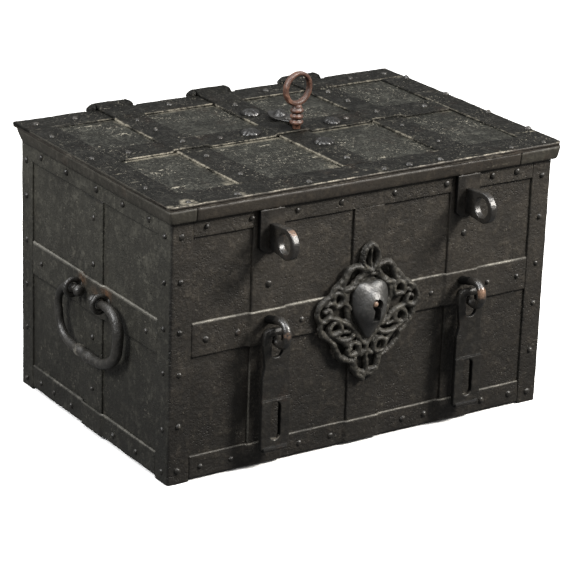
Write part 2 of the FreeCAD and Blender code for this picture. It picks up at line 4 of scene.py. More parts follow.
import bmesh
import bpy
import numpy as np
from mathutils import Matrix, Vector

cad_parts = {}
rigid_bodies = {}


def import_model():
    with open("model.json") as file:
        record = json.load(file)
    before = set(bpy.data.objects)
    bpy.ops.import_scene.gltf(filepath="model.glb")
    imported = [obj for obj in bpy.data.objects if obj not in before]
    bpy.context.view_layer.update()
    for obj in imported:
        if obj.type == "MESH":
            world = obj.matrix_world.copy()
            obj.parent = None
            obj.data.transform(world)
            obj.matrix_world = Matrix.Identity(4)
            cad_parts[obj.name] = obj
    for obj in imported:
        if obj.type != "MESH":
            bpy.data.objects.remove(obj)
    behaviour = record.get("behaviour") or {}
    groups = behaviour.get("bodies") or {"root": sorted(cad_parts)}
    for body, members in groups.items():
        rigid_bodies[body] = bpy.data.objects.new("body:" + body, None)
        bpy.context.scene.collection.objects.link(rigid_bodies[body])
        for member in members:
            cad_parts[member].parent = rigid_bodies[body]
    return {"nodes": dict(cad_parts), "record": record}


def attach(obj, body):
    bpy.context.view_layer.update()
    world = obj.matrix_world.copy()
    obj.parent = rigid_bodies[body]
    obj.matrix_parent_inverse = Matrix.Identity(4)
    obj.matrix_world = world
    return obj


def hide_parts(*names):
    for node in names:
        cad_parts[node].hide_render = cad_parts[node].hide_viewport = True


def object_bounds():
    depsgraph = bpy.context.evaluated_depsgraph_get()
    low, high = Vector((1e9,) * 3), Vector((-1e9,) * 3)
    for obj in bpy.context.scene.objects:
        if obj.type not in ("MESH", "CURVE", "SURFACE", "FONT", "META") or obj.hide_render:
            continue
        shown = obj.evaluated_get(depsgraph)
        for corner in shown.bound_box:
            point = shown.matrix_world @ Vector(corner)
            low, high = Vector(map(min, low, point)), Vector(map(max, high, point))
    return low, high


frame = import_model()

CAD_LO, CAD_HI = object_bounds()
NODES = frame["nodes"]
BODY = {n: b for b, ns in frame["record"]["behaviour"]["bodies"].items() for n in ns}

# ------------------------------------------------------------------ dimensions
# millimetres, the same as the construction model
HX, HY, TS, TP = 250.0, 167.4, 2.4, 3.0
PX, PY = HX - TS, HY - TS
IX, IY = PX - TP, PY - TP
Z_WALL, Z_LID0, Z_LID1, Z_TOP = 311.7, 312.2, 315.2, 317.6
CORNER, STRAP, FOOT = 26.5, 40.0, 3.2
SX, SY = HX - CORNER, HY - CORNER
Z_TOPBAND, Z_MID0, Z_MID1, Z_BOT = 277.5, 143.0, 182.5, 30.0
UPX, UPY = (-129.5, 0.0, 129.0), -2.0
LID_X, LID_Y0, LID_Y1, NOTCH_Y, RIM_Z = 258.3, -175.7, 172.5, 168.6, 297.1
LV_X, LV_Y0 = 257.5, -174.9
LS_X, LS_Y0, LS_Y1 = 223.0, -136.0, 133.0
LM_Y0, LM_Y1 = -9.0, 32.0
LCX = (-131.0, 3.0, 131.0)
AX_Y, AX_Z, KN_R, PIN_R = 176.0, 317.5, 6.5, 2.6
KX, KY = 12.5, 0.5
HASP_X, HASP_Y, HASP_Z = (-129.5, 129.0), -188.0, 164.0
EYE_X, EYE_Z, EYE_DY, HANDLE_Y = 260.5, 167.0, 30.5, -5.0
EC = 162.0
EY = -HY - TS

rng = np.random.default_rng(11)


# ----------------------------------------------------------------------- noise
def vnoise(p, seed=0):
    """Smooth value noise, -1 to 1, at points p (n, 3) measured in wavelengths."""
    p = np.asarray(p, float)
    i = np.floor(p).astype(np.int64)
    f = p - i
    f = f * f * f * (f * (f * 6 - 15) + 10)

    def h(dx, dy, dz):
        n = ((i[:, 0] + dx) * 374761393 + (i[:, 1] + dy) * 668265263
             + (i[:, 2] + dz) * 2147483647 + seed * 1274126177) & 0xFFFFFFFF
        n = ((n ^ (n >> 13)) * 1274126177) & 0xFFFFFFFF
        return ((n ^ (n >> 16)) & 0xFFFFFF) / float(0xFFFFFF)

    x, y, z = f[:, 0], f[:, 1], f[:, 2]
    a = h(0, 0, 0) * (1 - x) + h(1, 0, 0) * x
    b = h(0, 1, 0) * (1 - x) + h(1, 1, 0) * x
    c = h(0, 0, 1) * (1 - x) + h(1, 0, 1) * x
    d = h(0, 1, 1) * (1 - x) + h(1, 1, 1) * x
    return 2 * ((a * (1 - y) + b * y) * (1 - z) + (c * (1 - y) + d * y) * z) - 1


# ---------------------------------------------------------------- mesh helpers
def loft(rings, tags=None):
    """Closed skin over rings (n, m, 3): returns verts, faces, tags."""
    rings = np.asarray(rings, float)
    n, m = rings.shape[:2]
    i, j = np.meshgrid(np.arange(n - 1), np.arange(m), indexing="ij")
    a = (i * m + j).ravel()
    b = (i * m + (j + 1) % m).ravel()
    quads = np.stack([a, b, b + m, a + m], 1).tolist()
    quads.append(list(range(m))[::-1])
    quads.append(list(range((n - 1) * m, n * m)))
    t = np.zeros((n, m)) if tags is None else np.broadcast_to(tags, (n, m))
    return rings.reshape(-1, 3), quads, t.ravel()


def join(parts):
    vs, fs, ts, k = [], [], [], 0
    for v, f, t in parts:
        vs.append(v)
        fs += [[q + k for q in face] for face in f]
        ts.append(t)
        k += len(v)
    return np.concatenate(vs), fs, np.concatenate(ts)


def link(name, me):
    o = bpy.data.objects.new(name, me)
    bpy.context.scene.collection.objects.link(o)
    return o


def set_float(me, name, values):
    a = me.attributes.get(name) or me.attributes.new(name, "FLOAT", "POINT")
    a.data.foreach_set("value", np.asarray(values, np.float32))


def get_co(me):
    c = np.empty(len(me.vertices) * 3, np.float32)
    me.vertices.foreach_get("co", c)
    return c.reshape(-1, 3).astype(float)


def get_no(me):
    c = np.empty(len(me.vertices) * 3, np.float32)
    me.vertex_normals.foreach_get("vector", c)
    return c.reshape(-1, 3).astype(float)


def set_co(me, co):
    me.vertices.foreach_set("co", np.asarray(co, np.float32).ravel())
    me.update()


def build(name, parts, smooth=True):
    """One mesh object out of (verts in mm, faces, tags) parts."""
    v, f, t = join(parts)
    me = bpy.data.meshes.new(name)
    me.from_pydata((v * 0.001).tolist(), [], f)
    bm = bmesh.new()
    bm.from_mesh(me)
    bmesh.ops.recalc_face_normals(bm, faces=bm.faces)
    bm.to_mesh(me)
    bm.free()
    me.polygons.foreach_set("use_smooth", np.full(len(me.polygons), smooth))
    set_float(me, "wear_and_highlight", t)
    me.update()
    return link(name, me)


def roughen(o, *layers):
    """Uneven forged skin: each layer is (amplitude mm, wavelength mm, seed)."""
    me = o.data
    co, no = get_co(me), get_no(me)
    d = np.zeros(len(co))
    for amp, wl, seed in layers:
        d += amp * vnoise(co * 1000.0 / wl, seed)
    set_co(me, co + no * (d * 0.001)[:, None])
    return o


def finish_piece(o, mat, node=None, body=None, also=()):
    o.data.materials.clear()
    o.data.materials.append(mat)
    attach(o, body or BODY[node])
    if node:
        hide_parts(node, *also)
    return o


def edges_of(me):
    e = np.empty(len(me.edges) * 2, np.int64)
    me.edges.foreach_get("vertices", e)
    return e.reshape(-1, 2)


def neighbour_mean(x, e, n):
    deg = np.maximum(np.bincount(e.ravel(), minlength=n), 1)
    x = x.reshape(n, -1)
    out = np.empty_like(x)
    for k in range(x.shape[1]):
        out[:, k] = np.bincount(e[:, 0], x[e[:, 1], k], n) + np.bincount(e[:, 1], x[e[:, 0], k], n)
    return out / deg[:, None]


def solid_skin(name, src, voxel, relax=5, layers=(), gain=3.0):
    """Even skin over a closed mesh, edges softened, with wear on what stands out."""
    tmp = link("tmp_" + name, src)
    md = tmp.modifiers.new("skin", "REMESH")
    md.mode = "VOXEL"
    md.voxel_size = voxel * 0.001
    md.use_smooth_shade = True
    bpy.context.view_layer.update()
    dg = bpy.context.evaluated_depsgraph_get()
    me = bpy.data.meshes.new_from_object(tmp.evaluated_get(dg))
    bpy.data.objects.remove(tmp)
    me.name = name
    n = len(me.vertices)
    e = edges_of(me)
    co = get_co(me)
    for _ in range(relax):
        co += 0.5 * (neighbour_mean(co, e, n) - co)
    set_co(me, co)
    o = link(name, me)
    if layers:
        roughen(o, *layers)
    co, no = get_co(me), get_no(me)
    conv = -((neighbour_mean(co, e, n) - co) * no).sum(1) / (voxel * 0.001)
    for _ in range(2):
        conv = 0.5 * conv + 0.5 * neighbour_mean(conv, e, n)[:, 0]
    set_float(me, "wear_and_highlight", np.clip(conv * gain, 0, 1))
    me.polygons.foreach_set("use_smooth", np.full(len(me.polygons), True))
    return o


def forge(node, mat, voxel, relax=5, layers=((0.25, 14, 3), (0.1, 4, 4)), gain=3.0):
    me = NODES[node].data.copy()
    me.materials.clear()
    o = solid_skin(node + "_forged", me, voxel, relax, layers, gain)
    return finish_piece(o, mat, node)


def cut(o, cutter):
    """Boolean difference, applied."""
    md = o.modifiers.new("cut", "BOOLEAN")
    md.operation = "DIFFERENCE"
    md.solver = "EXACT"
    md.object = cutter
    bpy.context.view_layer.update()
    dg = bpy.context.evaluated_depsgraph_get()
    me = bpy.data.meshes.new_from_object(o.evaluated_get(dg))
    o.modifiers.clear()
    o.data = me
    bpy.data.objects.remove(cutter)
    me.polygons.foreach_set("use_smooth", np.full(len(me.polygons), True))
    return o


def sharpen(o, deg=35):
    o.data.set_sharp_from_angle(angle=math.radians(deg))
    return o


# ------------------------------------------------------------ strap and plates
def section(w, t, r, step, sink=0.7, band=0.0, skirt=0.0):
    """Strap cross-section (v, h) and edge tags; the back lies at h = -sink.
    band carries the rubbed edge that far on to the face, skirt down its side, where the pale tone is rubbed wear and
    painted light over the side's shade."""
    a = [(-w / 2, -sink), (-w / 2, (t - r) * 0.4)]
    tag = [skirt, skirt]
    for k in range(5):
        g = math.radians(180 - 22.5 * k)
        a.append((-w / 2 + r + r * math.cos(g), t - r + r * math.sin(g)))
        tag.append((0.6, 0.9, 1.0, 0.9, 0.5)[k])
    rub = [(0.5 * band, 0.62), (band, 0.12)] if band else []
    for q, g in rub:
        a.append((-w / 2 + r + q, t))
        tag.append(g)
    run = w - 2 * r - 2 * band
    n = max(2, int(round(run / step)))
    for k in range(1, n):
        a.append((-w / 2 + r + band + run * k / n, t))
        tag.append(0.0)
    for q, g in rub[::-1]:
        a.append((w / 2 - r - q, t))
        tag.append(g)
    for k in range(5):
        g = math.radians(90 - 22.5 * k)
        a.append((w / 2 - r + r * math.cos(g), t - r + r * math.sin(g)))
        tag.append((0.5, 0.9, 1.0, 0.9, 0.6)[k])
    a += [(w / 2, (t - r) * 0.4), (w / 2, -sink), (w / 4, -sink), (0, -sink), (-w / 4, -sink)]
    tag += [skirt, skirt, 0.0, 0.0, 0.0]
    return np.array(a), np.array(tag)


def ease(x):
    x = np.clip(x, 0, 1)
    return x * x * (3 - 2 * x)


def bumps_height(u, bumps, half=20.4, ramp=5.5, lift=TS):
    h = np.zeros_like(u)
    for c in bumps:
        d = np.abs(u - c)
        h = np.maximum(h, lift * ease((half + ramp - d) / ramp))
    return h


def stations(u0, u1, step, r, extra=()):
    n = max(2, int(round((u1 - u0 - 2 * r) / step)))
    u = list(np.linspace(u0 + r, u1 - r, n + 1))
    u = [u0, u0 + 0.3 * r] + u + [u1 - 0.3 * r, u1]
    u += [x for x in extra if u0 + r < x < u1 - r]
    return np.array(sorted(set(round(x, 4) for x in u)))


def strap(O, U, V, H, u0, u1, w, t=TS, r=1.35, base=0.0, bumps=(), step=2.6, vstep=2.8,
          left=1.0, right=1.0, sink=0.7, ends=True, path=None, band=0.0, tips=0.0, skirt=0.0):
    """Flat bar along U, w wide along V, standing t proud along H.
    left and right scale the wear of its two edges; an edge given more is rubbed wear and painted highlight."""
    sec, tag = section(w, t, r, vstep, sink, band, skirt)
    tag = tag * np.where(sec[:, 0] < 0, left, right)
    ex = [c + s * d for c in bumps for s in (-1, 1) for d in (19.5, 20.4, 21.5, 23, 24.5, 25.9)]
    u = stations(u0, u1, step, r, ex)
    hb = base + (bumps_height(u, bumps) if path is None else path(u))
    O, U, V, H = (np.array(x, float) for x in (O, U, V, H))
    d = np.minimum(u - u0, u1 - u)
    drop = np.where(d < r, r - np.sqrt(np.maximum(r * r - (r - d) ** 2, 0)), 0) if ends else np.zeros_like(u)
    hh = np.where(sec[None, :, 1] > 0.5 * t, sec[None, :, 1] - drop[:, None], sec[None, :, 1]) + hb[:, None]
    rings = (O + u[:, None, None] * U + sec[None, :, 0, None] * V + hh[:, :, None] * H)
    tg = np.repeat(tag[None], len(u), 0)
    tg = tg * np.where(d < 1.0, 0.2, 1.0)[:, None]
    tg = tg * (1 - tips + tips * (2 * np.abs(u - (u0 + u1) / 2) / (u1 - u0)) ** 2)[:, None]
    return loft(rings, tg)


def front(x0, x1, z0, z1, bumps=(), back=False, **k):
    s = 1 if back else -1
    return strap((0, 0, (z0 + z1) / 2), (1, 0, 0), (0, 0, 1), (0, s, 0), x0, x1, z1 - z0, base=PY, bumps=bumps, **k)


def front_up(c, z0, z1, back=False, w=STRAP, **k):
    s = 1 if back else -1
    return strap((c, 0, 0), (0, 0, 1), (1, 0, 0), (0, s, 0), z0, z1, w, base=PY, **k)


def end(side, y0, y1, z0, z1, bumps=(), **k):
    return strap((0, 0, (z0 + z1) / 2), (0, 1, 0), (0, 0, 1), (side, 0, 0), y0, y1, z1 - z0, base=PX, bumps=bumps, **k)


def end_up(side, c, z0, z1, **k):
    return strap((0, c, 0), (0, 0, 1), (0, 1, 0), (side, 0, 0), z0, z1, STRAP, base=PX, **k)


def top_x(x0, x1, y0, y1, bumps=(), z=Z_LID1, **k):
    return strap((0, (y0 + y1) / 2, 0), (1, 0, 0), (0, 1, 0), (0, 0, 1), x0, x1, y1 - y0, base=z, bumps=bumps, **k)


def top_y(x0, x1, y0, y1, z=Z_LID1, **k):
    return strap(((x0 + x1) / 2, 0, 0), (0, 1, 0), (1, 0, 0), (0, 0, 1), y0, y1, x1 - x0, base=z, **k)


def ribbon(path, width, t, c, step_v=5.0, r=1.3, left=1.0, right=1.0, skirt=0.0):
    """Bar whose inner face follows path (y, z, thickness), c the middle in X."""
    p = np.array([q[:2] for q in path], float)
    th = np.array([q[2] if len(q) > 2 else t for q in path], float)
    tan = np.gradient(p, axis=0)
    tan /= np.linalg.norm(tan, axis=1)[:, None]
    nor = np.stack([-tan[:, 1], tan[:, 0]], 1)
    rings, tags = [], []
    for k in range(len(p)):
        sec, tag = section(width, th[k], r, step_v, 0.0, 0.0, skirt)
        q = p[k] + sec[:, 1, None] * nor[k]
        rings.append(np.stack([c + sec[:, 0], q[:, 0], q[:, 1]], 1))
        tags.append(tag * np.where(sec[:, 0] < 0, left, right))
    return loft(np.array(rings), np.array(tags))


def dome(p, n, r, h, seed, seg=16, lump=0.06, sink=0.8, flat=1.0, rub=1.0):
    """Hammered rivet head."""
    g = np.random.default_rng(seed)
    n = Vector(n)
    q = n.to_track_quat("Z", "Y").to_matrix()
    prof = [(0.0, 1.0), (0.3, 0.97), (0.55, 0.86), (0.76, 0.65), (0.92, 0.36), (1.0, 0.06)]
    ang = np.linspace(0, 2 * math.pi, seg, endpoint=False)
    ph = g.uniform(0, 6.28, 4)
    verts, tags = [], []
    off = g.normal(0, 0.05, 2) * r
    for a, b in prof[1:]:
        rad = r * a * (1 + lump * np.sin(2 * ang + ph[0]) + lump * 0.8 * np.sin(3 * ang + ph[1])
                       + lump * 0.6 * np.sin(5 * ang + ph[2]))
        z = h * b * flat * (1 + lump * 1.2 * np.sin(ang + ph[3]))
        verts.append(np.stack([rad * np.cos(ang) + off[0] * (1 - a), rad * np.sin(ang) + off[1] * (1 - a), z], 1))
        tags.append(np.full(seg, rub * (1 - a * 0.9)))
    verts.append(np.stack([r * np.cos(ang), r * np.sin(ang), np.full(seg, -sink)], 1))
    tags.append(np.zeros(seg))
    v = np.concatenate([[[off[0], off[1], h * flat]]] + verts)
    t = np.concatenate([[rub]] + tags)
    f = [[0, 1 + k, 1 + (k + 1) % seg] for k in range(seg)]
    for i in range(len(verts) - 1):
        a = 1 + i * seg
        f += [[a + k, a + seg + k, a + seg + (k + 1) % seg, a + (k + 1) % seg] for k in range(seg)]
    a = 1 + (len(verts) - 1) * seg
    f.append([a + k for k in range(seg)])
    m = np.array(q)
    return v @ m.T + np.array(p, float), f, t


def tube(path, radii, seg=20, up=(0, 0, 1), wear_and_highlight=None, squash=1.0):
    """Bar along a path (n, 3) with its own radius at each point, ends rounded."""
    p = np.asarray(path, float)
    r = np.broadcast_to(np.asarray(radii, float), (len(p),)).copy()
    tan = np.gradient(p, axis=0)
    tan /= np.linalg.norm(tan, axis=1)[:, None]
    up = np.array(up, float)
    side = np.cross(tan, up)
    side /= np.maximum(np.linalg.norm(side, axis=1), 1e-9)[:, None]
    upv = np.cross(side, tan)
    ang = np.linspace(0, 2 * math.pi, seg, endpoint=False)
    rings, tags = [], []
    tg = np.zeros(len(p)) if wear_and_highlight is None else np.asarray(wear_and_highlight)

    def ring(k, rr, shift=0.0):
        return (p[k] + tan[k] * shift + rr * np.cos(ang)[:, None] * side[k]
                + rr * squash * np.sin(ang)[:, None] * upv[k])
    for a in (80, 55, 28):
        rings.append(ring(0, r[0] * math.cos(math.radians(a)), -r[0] * 0.5 * math.sin(math.radians(a))))
        tags.append(np.full(seg, tg[0]))
    for k in range(len(p)):
        rings.append(ring(k, r[k]))
        tags.append(np.full(seg, tg[k]))
    for a in (28, 55, 80):
        rings.append(ring(-1, r[-1] * math.cos(math.radians(a)), r[-1] * 0.5 * math.sin(math.radians(a))))
        tags.append(np.full(seg, tg[-1]))
    return loft(np.array(rings), np.array(tags))


def smooth_path(pts, n):
    """Points evenly spaced along a Catmull-Rom curve through pts."""
    p = np.asarray(pts, float)
    e = np.concatenate([[2 * p[0] - p[1]], p, [2 * p[-1] - p[-2]]])
    out = []
    for i in range(1, len(e) - 2):
        for t in np.linspace(0, 1, 24, endpoint=False):
            a, b, c, d = e[i - 1], e[i], e[i + 1], e[i + 2]
            out.append(0.5 * (2 * b + (c - a) * t + (2 * a - 5 * b + 4 * c - d) * t * t
                              + (3 * b - a - 3 * c + d) * t ** 3))
    out.append(p[-1])
    out = np.array(out)
    s = np.concatenate([[0], np.cumsum(np.linalg.norm(np.diff(out, axis=0), axis=1))])
    q = np.linspace(0, s[-1], n)
    return np.stack([np.interp(q, s, out[:, k]) for k in range(out.shape[1])], 1)


def lathe(profile, p, d, seg=40, tags=None):
    """Turned solid: profile (radius, height) from foot to head about p along d."""
    ang = np.linspace(0, 2 * math.pi, seg, endpoint=False)
    m = np.array(Vector(d).to_track_quat("Z", "Y").to_matrix())
    rings = [np.stack([r * np.cos(ang), r * np.sin(ang), np.full(seg, z)], 1) for r, z in profile]
    tg = None if tags is None else np.repeat(np.array(tags)[:, None], seg, 1)
    v, f, t = loft(np.array(rings), tg)
    return v @ m.T + np.array(p, float), f, t


# ------------------------------------------------------------------- materials
def ramp(nt, src, lo, hi, out0=0.0, out1=1.0):
    n = nt.nodes.new("ShaderNodeMapRange")
    n.interpolation_type = "SMOOTHSTEP"
    n.inputs["From Min"].default_value = lo
    n.inputs["From Max"].default_value = hi
    n.inputs["To Min"].default_value = out0
    n.inputs["To Max"].default_value = out1
    nt.links.new(src, n.inputs["Value"])
    return n.outputs["Result"]


def math_node(nt, op, a, b=None, c=None):
    n = nt.nodes.new("ShaderNodeMath")
    n.operation = op
    for k, x in enumerate((a, b, c)):
        if x is None:
            continue
        if isinstance(x, (int, float)):
            n.inputs[k].default_value = x
        else:
            nt.links.new(x, n.inputs[k])
    return n.outputs[0]


def mix(nt, fac, a, b):
    n = nt.nodes.new("ShaderNodeMix")
    n.data_type = "RGBA"
    nt.links.new(fac, n.inputs[0])
    for k, x in ((6, a), (7, b)):
        if isinstance(x, tuple):
            n.inputs[k].default_value = (*x, 1.0)
        else:
            nt.links.new(x, n.inputs[k])
    return n.outputs[2]


def noise(nt, co, scale, detail=4.0, rough=0.55, stretch=None, distort=0.0):
    src = co
    if stretch:
        m = nt.nodes.new("ShaderNodeMapping")
        m.inputs["Scale"].default_value = stretch
        nt.links.new(co, m.inputs["Vector"])
        src = m.outputs["Vector"]
    n = nt.nodes.new("ShaderNodeTexNoise")
    n.inputs["Scale"].default_value = scale
    n.inputs["Detail"].default_value = detail
    n.inputs["Roughness"].default_value = rough
    n.inputs["Distortion"].default_value = distort
    nt.links.new(src, n.inputs["Vector"])
    return n.outputs["Fac"]


def voronoi(nt, co, scale):
    n = nt.nodes.new("ShaderNodeTexVoronoi")
    n.inputs["Scale"].default_value = scale
    nt.links.new(co, n.inputs["Vector"])
    sx = nt.nodes.new("ShaderNodeSeparateColor")
    nt.links.new(n.outputs["Color"], sx.inputs[0])
    return n.outputs["Distance"], sx.outputs[0]


def tint(nt, col, fac):
    """Colour darkened or lifted by a factor."""
    n = nt.nodes.new("ShaderNodeMix")
    n.data_type = "RGBA"
    n.blend_type = "MULTIPLY"
    n.inputs[0].default_value = 1.0
    nt.links.new(col, n.inputs[6])
    nt.links.new(fac, n.inputs[7])
    return n.outputs[2]


def mapped(nt, co, scale):
    m = nt.nodes.new("ShaderNodeMapping")
    m.inputs["Scale"].default_value = scale
    nt.links.new(co, m.inputs["Vector"])
    return m.outputs["Vector"]


def iron(name, dark, mid, light, wear_and_highlight, spec=0.3, rough=0.5, speck=0.0, speck_col=(0.26, 0.24, 0.19), speck_scale=430, flat=(1, 1, 1),
         mott=0.0, mott_scale=150, height_shade=None, streak=(1, 1, 1), scratch=0.0, rust=0.15, rust_col=(0.06, 0.028, 0.014), pits=0.5,
         bump=0.5, grain=1.0, wear_and_highlight_lo=0.10, wear_and_highlight_hi=0.8, metal=0.4, even=0.0, brush=0.0, stain=None, bare=None):
    """Blackened wrought iron: mottled scale, pits, rubbed edges, which on some pieces also carry painted highlights,
    rust and scuffs, and painted shade where a piece asks for it.
    The height band (z low, z high, factor low, factor high) is painted shade darker towards the floor and painted light
    towards the top."""
    m = bpy.data.materials.new(name)
    m.use_nodes = True
    nt = m.node_tree
    nt.nodes.clear()
    out = nt.nodes.new("ShaderNodeOutputMaterial")
    bs = nt.nodes.new("ShaderNodeBsdfPrincipled")
    nt.links.new(bs.outputs[0], out.inputs[0])
    tc = nt.nodes.new("ShaderNodeTexCoord").outputs["Object"]
    at = nt.nodes.new("ShaderNodeAttribute")
    at.attribute_name = "wear_and_highlight"
    big = noise(nt, tc, 11, 5, 0.6)
    med = noise(nt, tc, 75, 6, 0.62)
    mic = noise(nt, tc, 240, 5, 0.6)
    fine = noise(nt, tc, 620, 3, 0.6)
    dist, _ = voronoi(nt, tc, 300)
    pit_zone = ramp(nt, noise(nt, tc, 34, 4, 0.6), 0.46, 0.64)
    pit = math_node(nt, "MULTIPLY", ramp(nt, dist, 0.12, 0.36, 1.0, 0.0), pit_zone)
    col = mix(nt, ramp(nt, big, 0.32, 0.68), dark, mid)
    lite = math_node(nt, "ADD", math_node(nt, "MULTIPLY", med, 0.55), math_node(nt, "MULTIPLY", mic, 0.45))
    col = mix(nt, ramp(nt, lite, 0.47, 0.66), col, light)
    # painted shade and light by height: darker towards the floor, lighter towards the top
    if height_shade:
        sep = nt.nodes.new("ShaderNodeSeparateXYZ")
        nt.links.new(tc, sep.inputs[0])
        col = tint(nt, col, ramp(nt, sep.outputs["Z"], *height_shade))
    rz = math_node(nt, "MULTIPLY", ramp(nt, noise(nt, tc, 27, 7, 0.7), 0.56, 0.74), rust)
    col = mix(nt, rz, col, rust_col)
    col = mix(nt, math_node(nt, "MULTIPLY", pit, 0.7 * pits), col, tuple(x * 0.35 for x in dark))
    if mott:
        mn = noise(nt, mapped(nt, tc, flat), mott_scale, 5, 0.72)
        col = mix(nt, math_node(nt, "MULTIPLY", ramp(nt, mn, 0.50, 0.36), 0.8 * mott), col, tuple(x * 0.3 for x in dark))
        col = mix(nt, math_node(nt, "MULTIPLY", ramp(nt, mn, 0.53, 0.68), mott), col, tuple(x * 2.2 for x in light))
    if brush:
        col = tint(nt, col, ramp(nt, noise(nt, tc, 200, 4, 0.65, (1, 1, 0.07)), 0.3, 0.7, 1 - brush, 1 + brush))
    if stain:
        sa = nt.nodes.new("ShaderNodeAttribute")
        sa.attribute_name = "stain"
        col = mix(nt, math_node(nt, "MULTIPLY", sa.outputs["Fac"], ramp(nt, med, 0.36, 0.56, 0.2, 1.0)), col, stain)
    if speck:
        sp = ramp(nt, noise(nt, mapped(nt, tc, flat), speck_scale, 3, 0.75), 0.60, 0.67)
        sp = math_node(nt, "MULTIPLY", sp, ramp(nt, noise(nt, tc, 23, 5, 0.65), 0.42, 0.62, 0.08, 1.0))
        col = mix(nt, math_node(nt, "MULTIPLY", sp, speck), col, speck_col)
    if scratch:
        st = noise(nt, tc, 60, 7, 0.72, streak)
        sc = math_node(nt, "MULTIPLY", ramp(nt, st, 0.585, 0.66), ramp(nt, mic, 0.46, 0.60))
        sc = math_node(nt, "MULTIPLY", sc, ramp(nt, noise(nt, tc, 14, 4, 0.6), 0.40, 0.60, 0.1, 1.0))
        col = mix(nt, math_node(nt, "MULTIPLY", sc, scratch), col, speck_col)
    # painted shade: the colour is taken towards black where a piece sets this attribute
    so = nt.nodes.new("ShaderNodeAttribute")
    so.attribute_name = "painted_shade"
    col = mix(nt, math_node(nt, "MULTIPLY", so.outputs["Fac"], ramp(nt, mic, 0.35, 0.55, 0.7, 1.0)), col, tuple(x * 0.22 for x in dark))
    # the wear mask: rubbed edges, and on some pieces painted highlights, lift the colour towards the wear colour
    wn = math_node(nt, "ADD", math_node(nt, "MULTIPLY", med, 0.5), math_node(nt, "MULTIPLY", mic, 0.5))
    wz = math_node(nt, "MULTIPLY", at.outputs["Fac"], ramp(nt, wn, 0.38, 0.60, 0.35 + 0.5 * even, 1.0))
    wz = math_node(nt, "MULTIPLY", wz, ramp(nt, noise(nt, tc, 19, 3, 0.5), 0.36, 0.58, 0.30 + 0.5 * even, 1.0))
    wz = ramp(nt, wz, wear_and_highlight_lo, wear_and_highlight_hi)
    col = mix(nt, wz, col, wear_and_highlight)
    nt.links.new(col, bs.inputs["Base Color"])
    ro = ramp(nt, lite, 0.36, 0.64, rough + 0.12, rough - 0.06)
    ro = math_node(nt, "SUBTRACT", ro, math_node(nt, "MULTIPLY", wz, 0.06))
    ro = math_node(nt, "ADD", ro, math_node(nt, "MULTIPLY", rz, 0.2))
    nt.links.new(ro, bs.inputs["Roughness"])
    if bare is None:
        nt.links.new(math_node(nt, "MULTIPLY", wz, metal), bs.inputs["Metallic"])
    else:
        bs.inputs["Metallic"].default_value = bare
    bs.inputs["Specular IOR Level"].default_value = spec
    hgt = math_node(nt, "ADD", math_node(nt, "MULTIPLY", med, 0.8), math_node(nt, "MULTIPLY", mic, 0.65 * grain))
    hgt = math_node(nt, "ADD", hgt, math_node(nt, "MULTIPLY", fine, 0.16 * grain))
    hgt = math_node(nt, "SUBTRACT", hgt, math_node(nt, "MULTIPLY", pit, 0.6 * pits))
    bp = nt.nodes.new("ShaderNodeBump")
    bp.inputs["Strength"].default_value = bump
    bp.inputs["Distance"].default_value = 0.0016
    nt.links.new(hgt, bp.inputs["Height"])
    nt.links.new(bp.outputs[0], bs.inputs["Normal"])
    return m


TAN = (0.20, 0.182, 0.148)
# height bands: painted shade towards the floor, painted light towards the top
HEIGHT_SHADE = (0.02, 0.27, 0.70, 1.38)
HEIGHT_SHADE2 = (0.02, 0.27, 0.60, 1.45)
# One blackened iron in two tones: the darker front tone is painted shade, the lighter tone of the ends and back painted
# light.
M_FRONT = iron("iron_front", (0.0096, 0.0084, 0.0067), (0.0158, 0.0137, 0.0110), (0.026, 0.0227, 0.0184), (0.138, 0.131, 0.113), speck=0.14, speck_scale=300,
               mott=0.12, mott_scale=75, scratch=0.08, streak=(1, 0.6, 3), bump=1.0, grain=0.95, rust=0.06, rust_col=(0.035, 0.022, 0.014),
               height_shade=HEIGHT_SHADE, even=0.6, brush=0.10)
M_SIDE = iron("iron_side", (0.0135, 0.0129, 0.0104), (0.0215, 0.0206, 0.0166), (0.034, 0.0327, 0.0265), (0.17, 0.163, 0.143), speck=0.30, speck_scale=330,
              mott=0.14, mott_scale=75, scratch=0.14, streak=(1, 1, 0.3), bump=1.0, grain=0.95, rust=0.06, height_shade=HEIGHT_SHADE2, even=0.55, brush=0.10,
              stain=(0.115, 0.050, 0.020))
M_LID = iron("iron_lid", (0.0026, 0.0026, 0.0022), (0.0050, 0.0049, 0.0041), (0.0128, 0.0125, 0.0105), (0.20, 0.183, 0.145), speck=0.45, speck_col=(0.27, 0.25, 0.20),
             speck_scale=290, flat=(1.6, 0.8, 1), mott=0.30, mott_scale=250, scratch=0.55, streak=(0.35, 1.5, 1), pits=1.0, bump=1.0,
             grain=1.3, rust=0.08, spec=0.09, rough=0.46)
M_FIELD = iron("iron_lid_field", (0.0058, 0.0059, 0.0049), (0.0118, 0.0119, 0.0098), (0.030, 0.0302, 0.0252), (0.15, 0.138, 0.108), speck=0.8, speck_col=(0.29, 0.27, 0.22),
               speck_scale=300, flat=(1.6, 0.8, 1), mott=0.48, mott_scale=260, scratch=0.85, streak=(0.45, 1.4, 1), pits=1.0, bump=1.0,
               grain=1.5, rust=0.10, spec=0.11, rough=0.46)
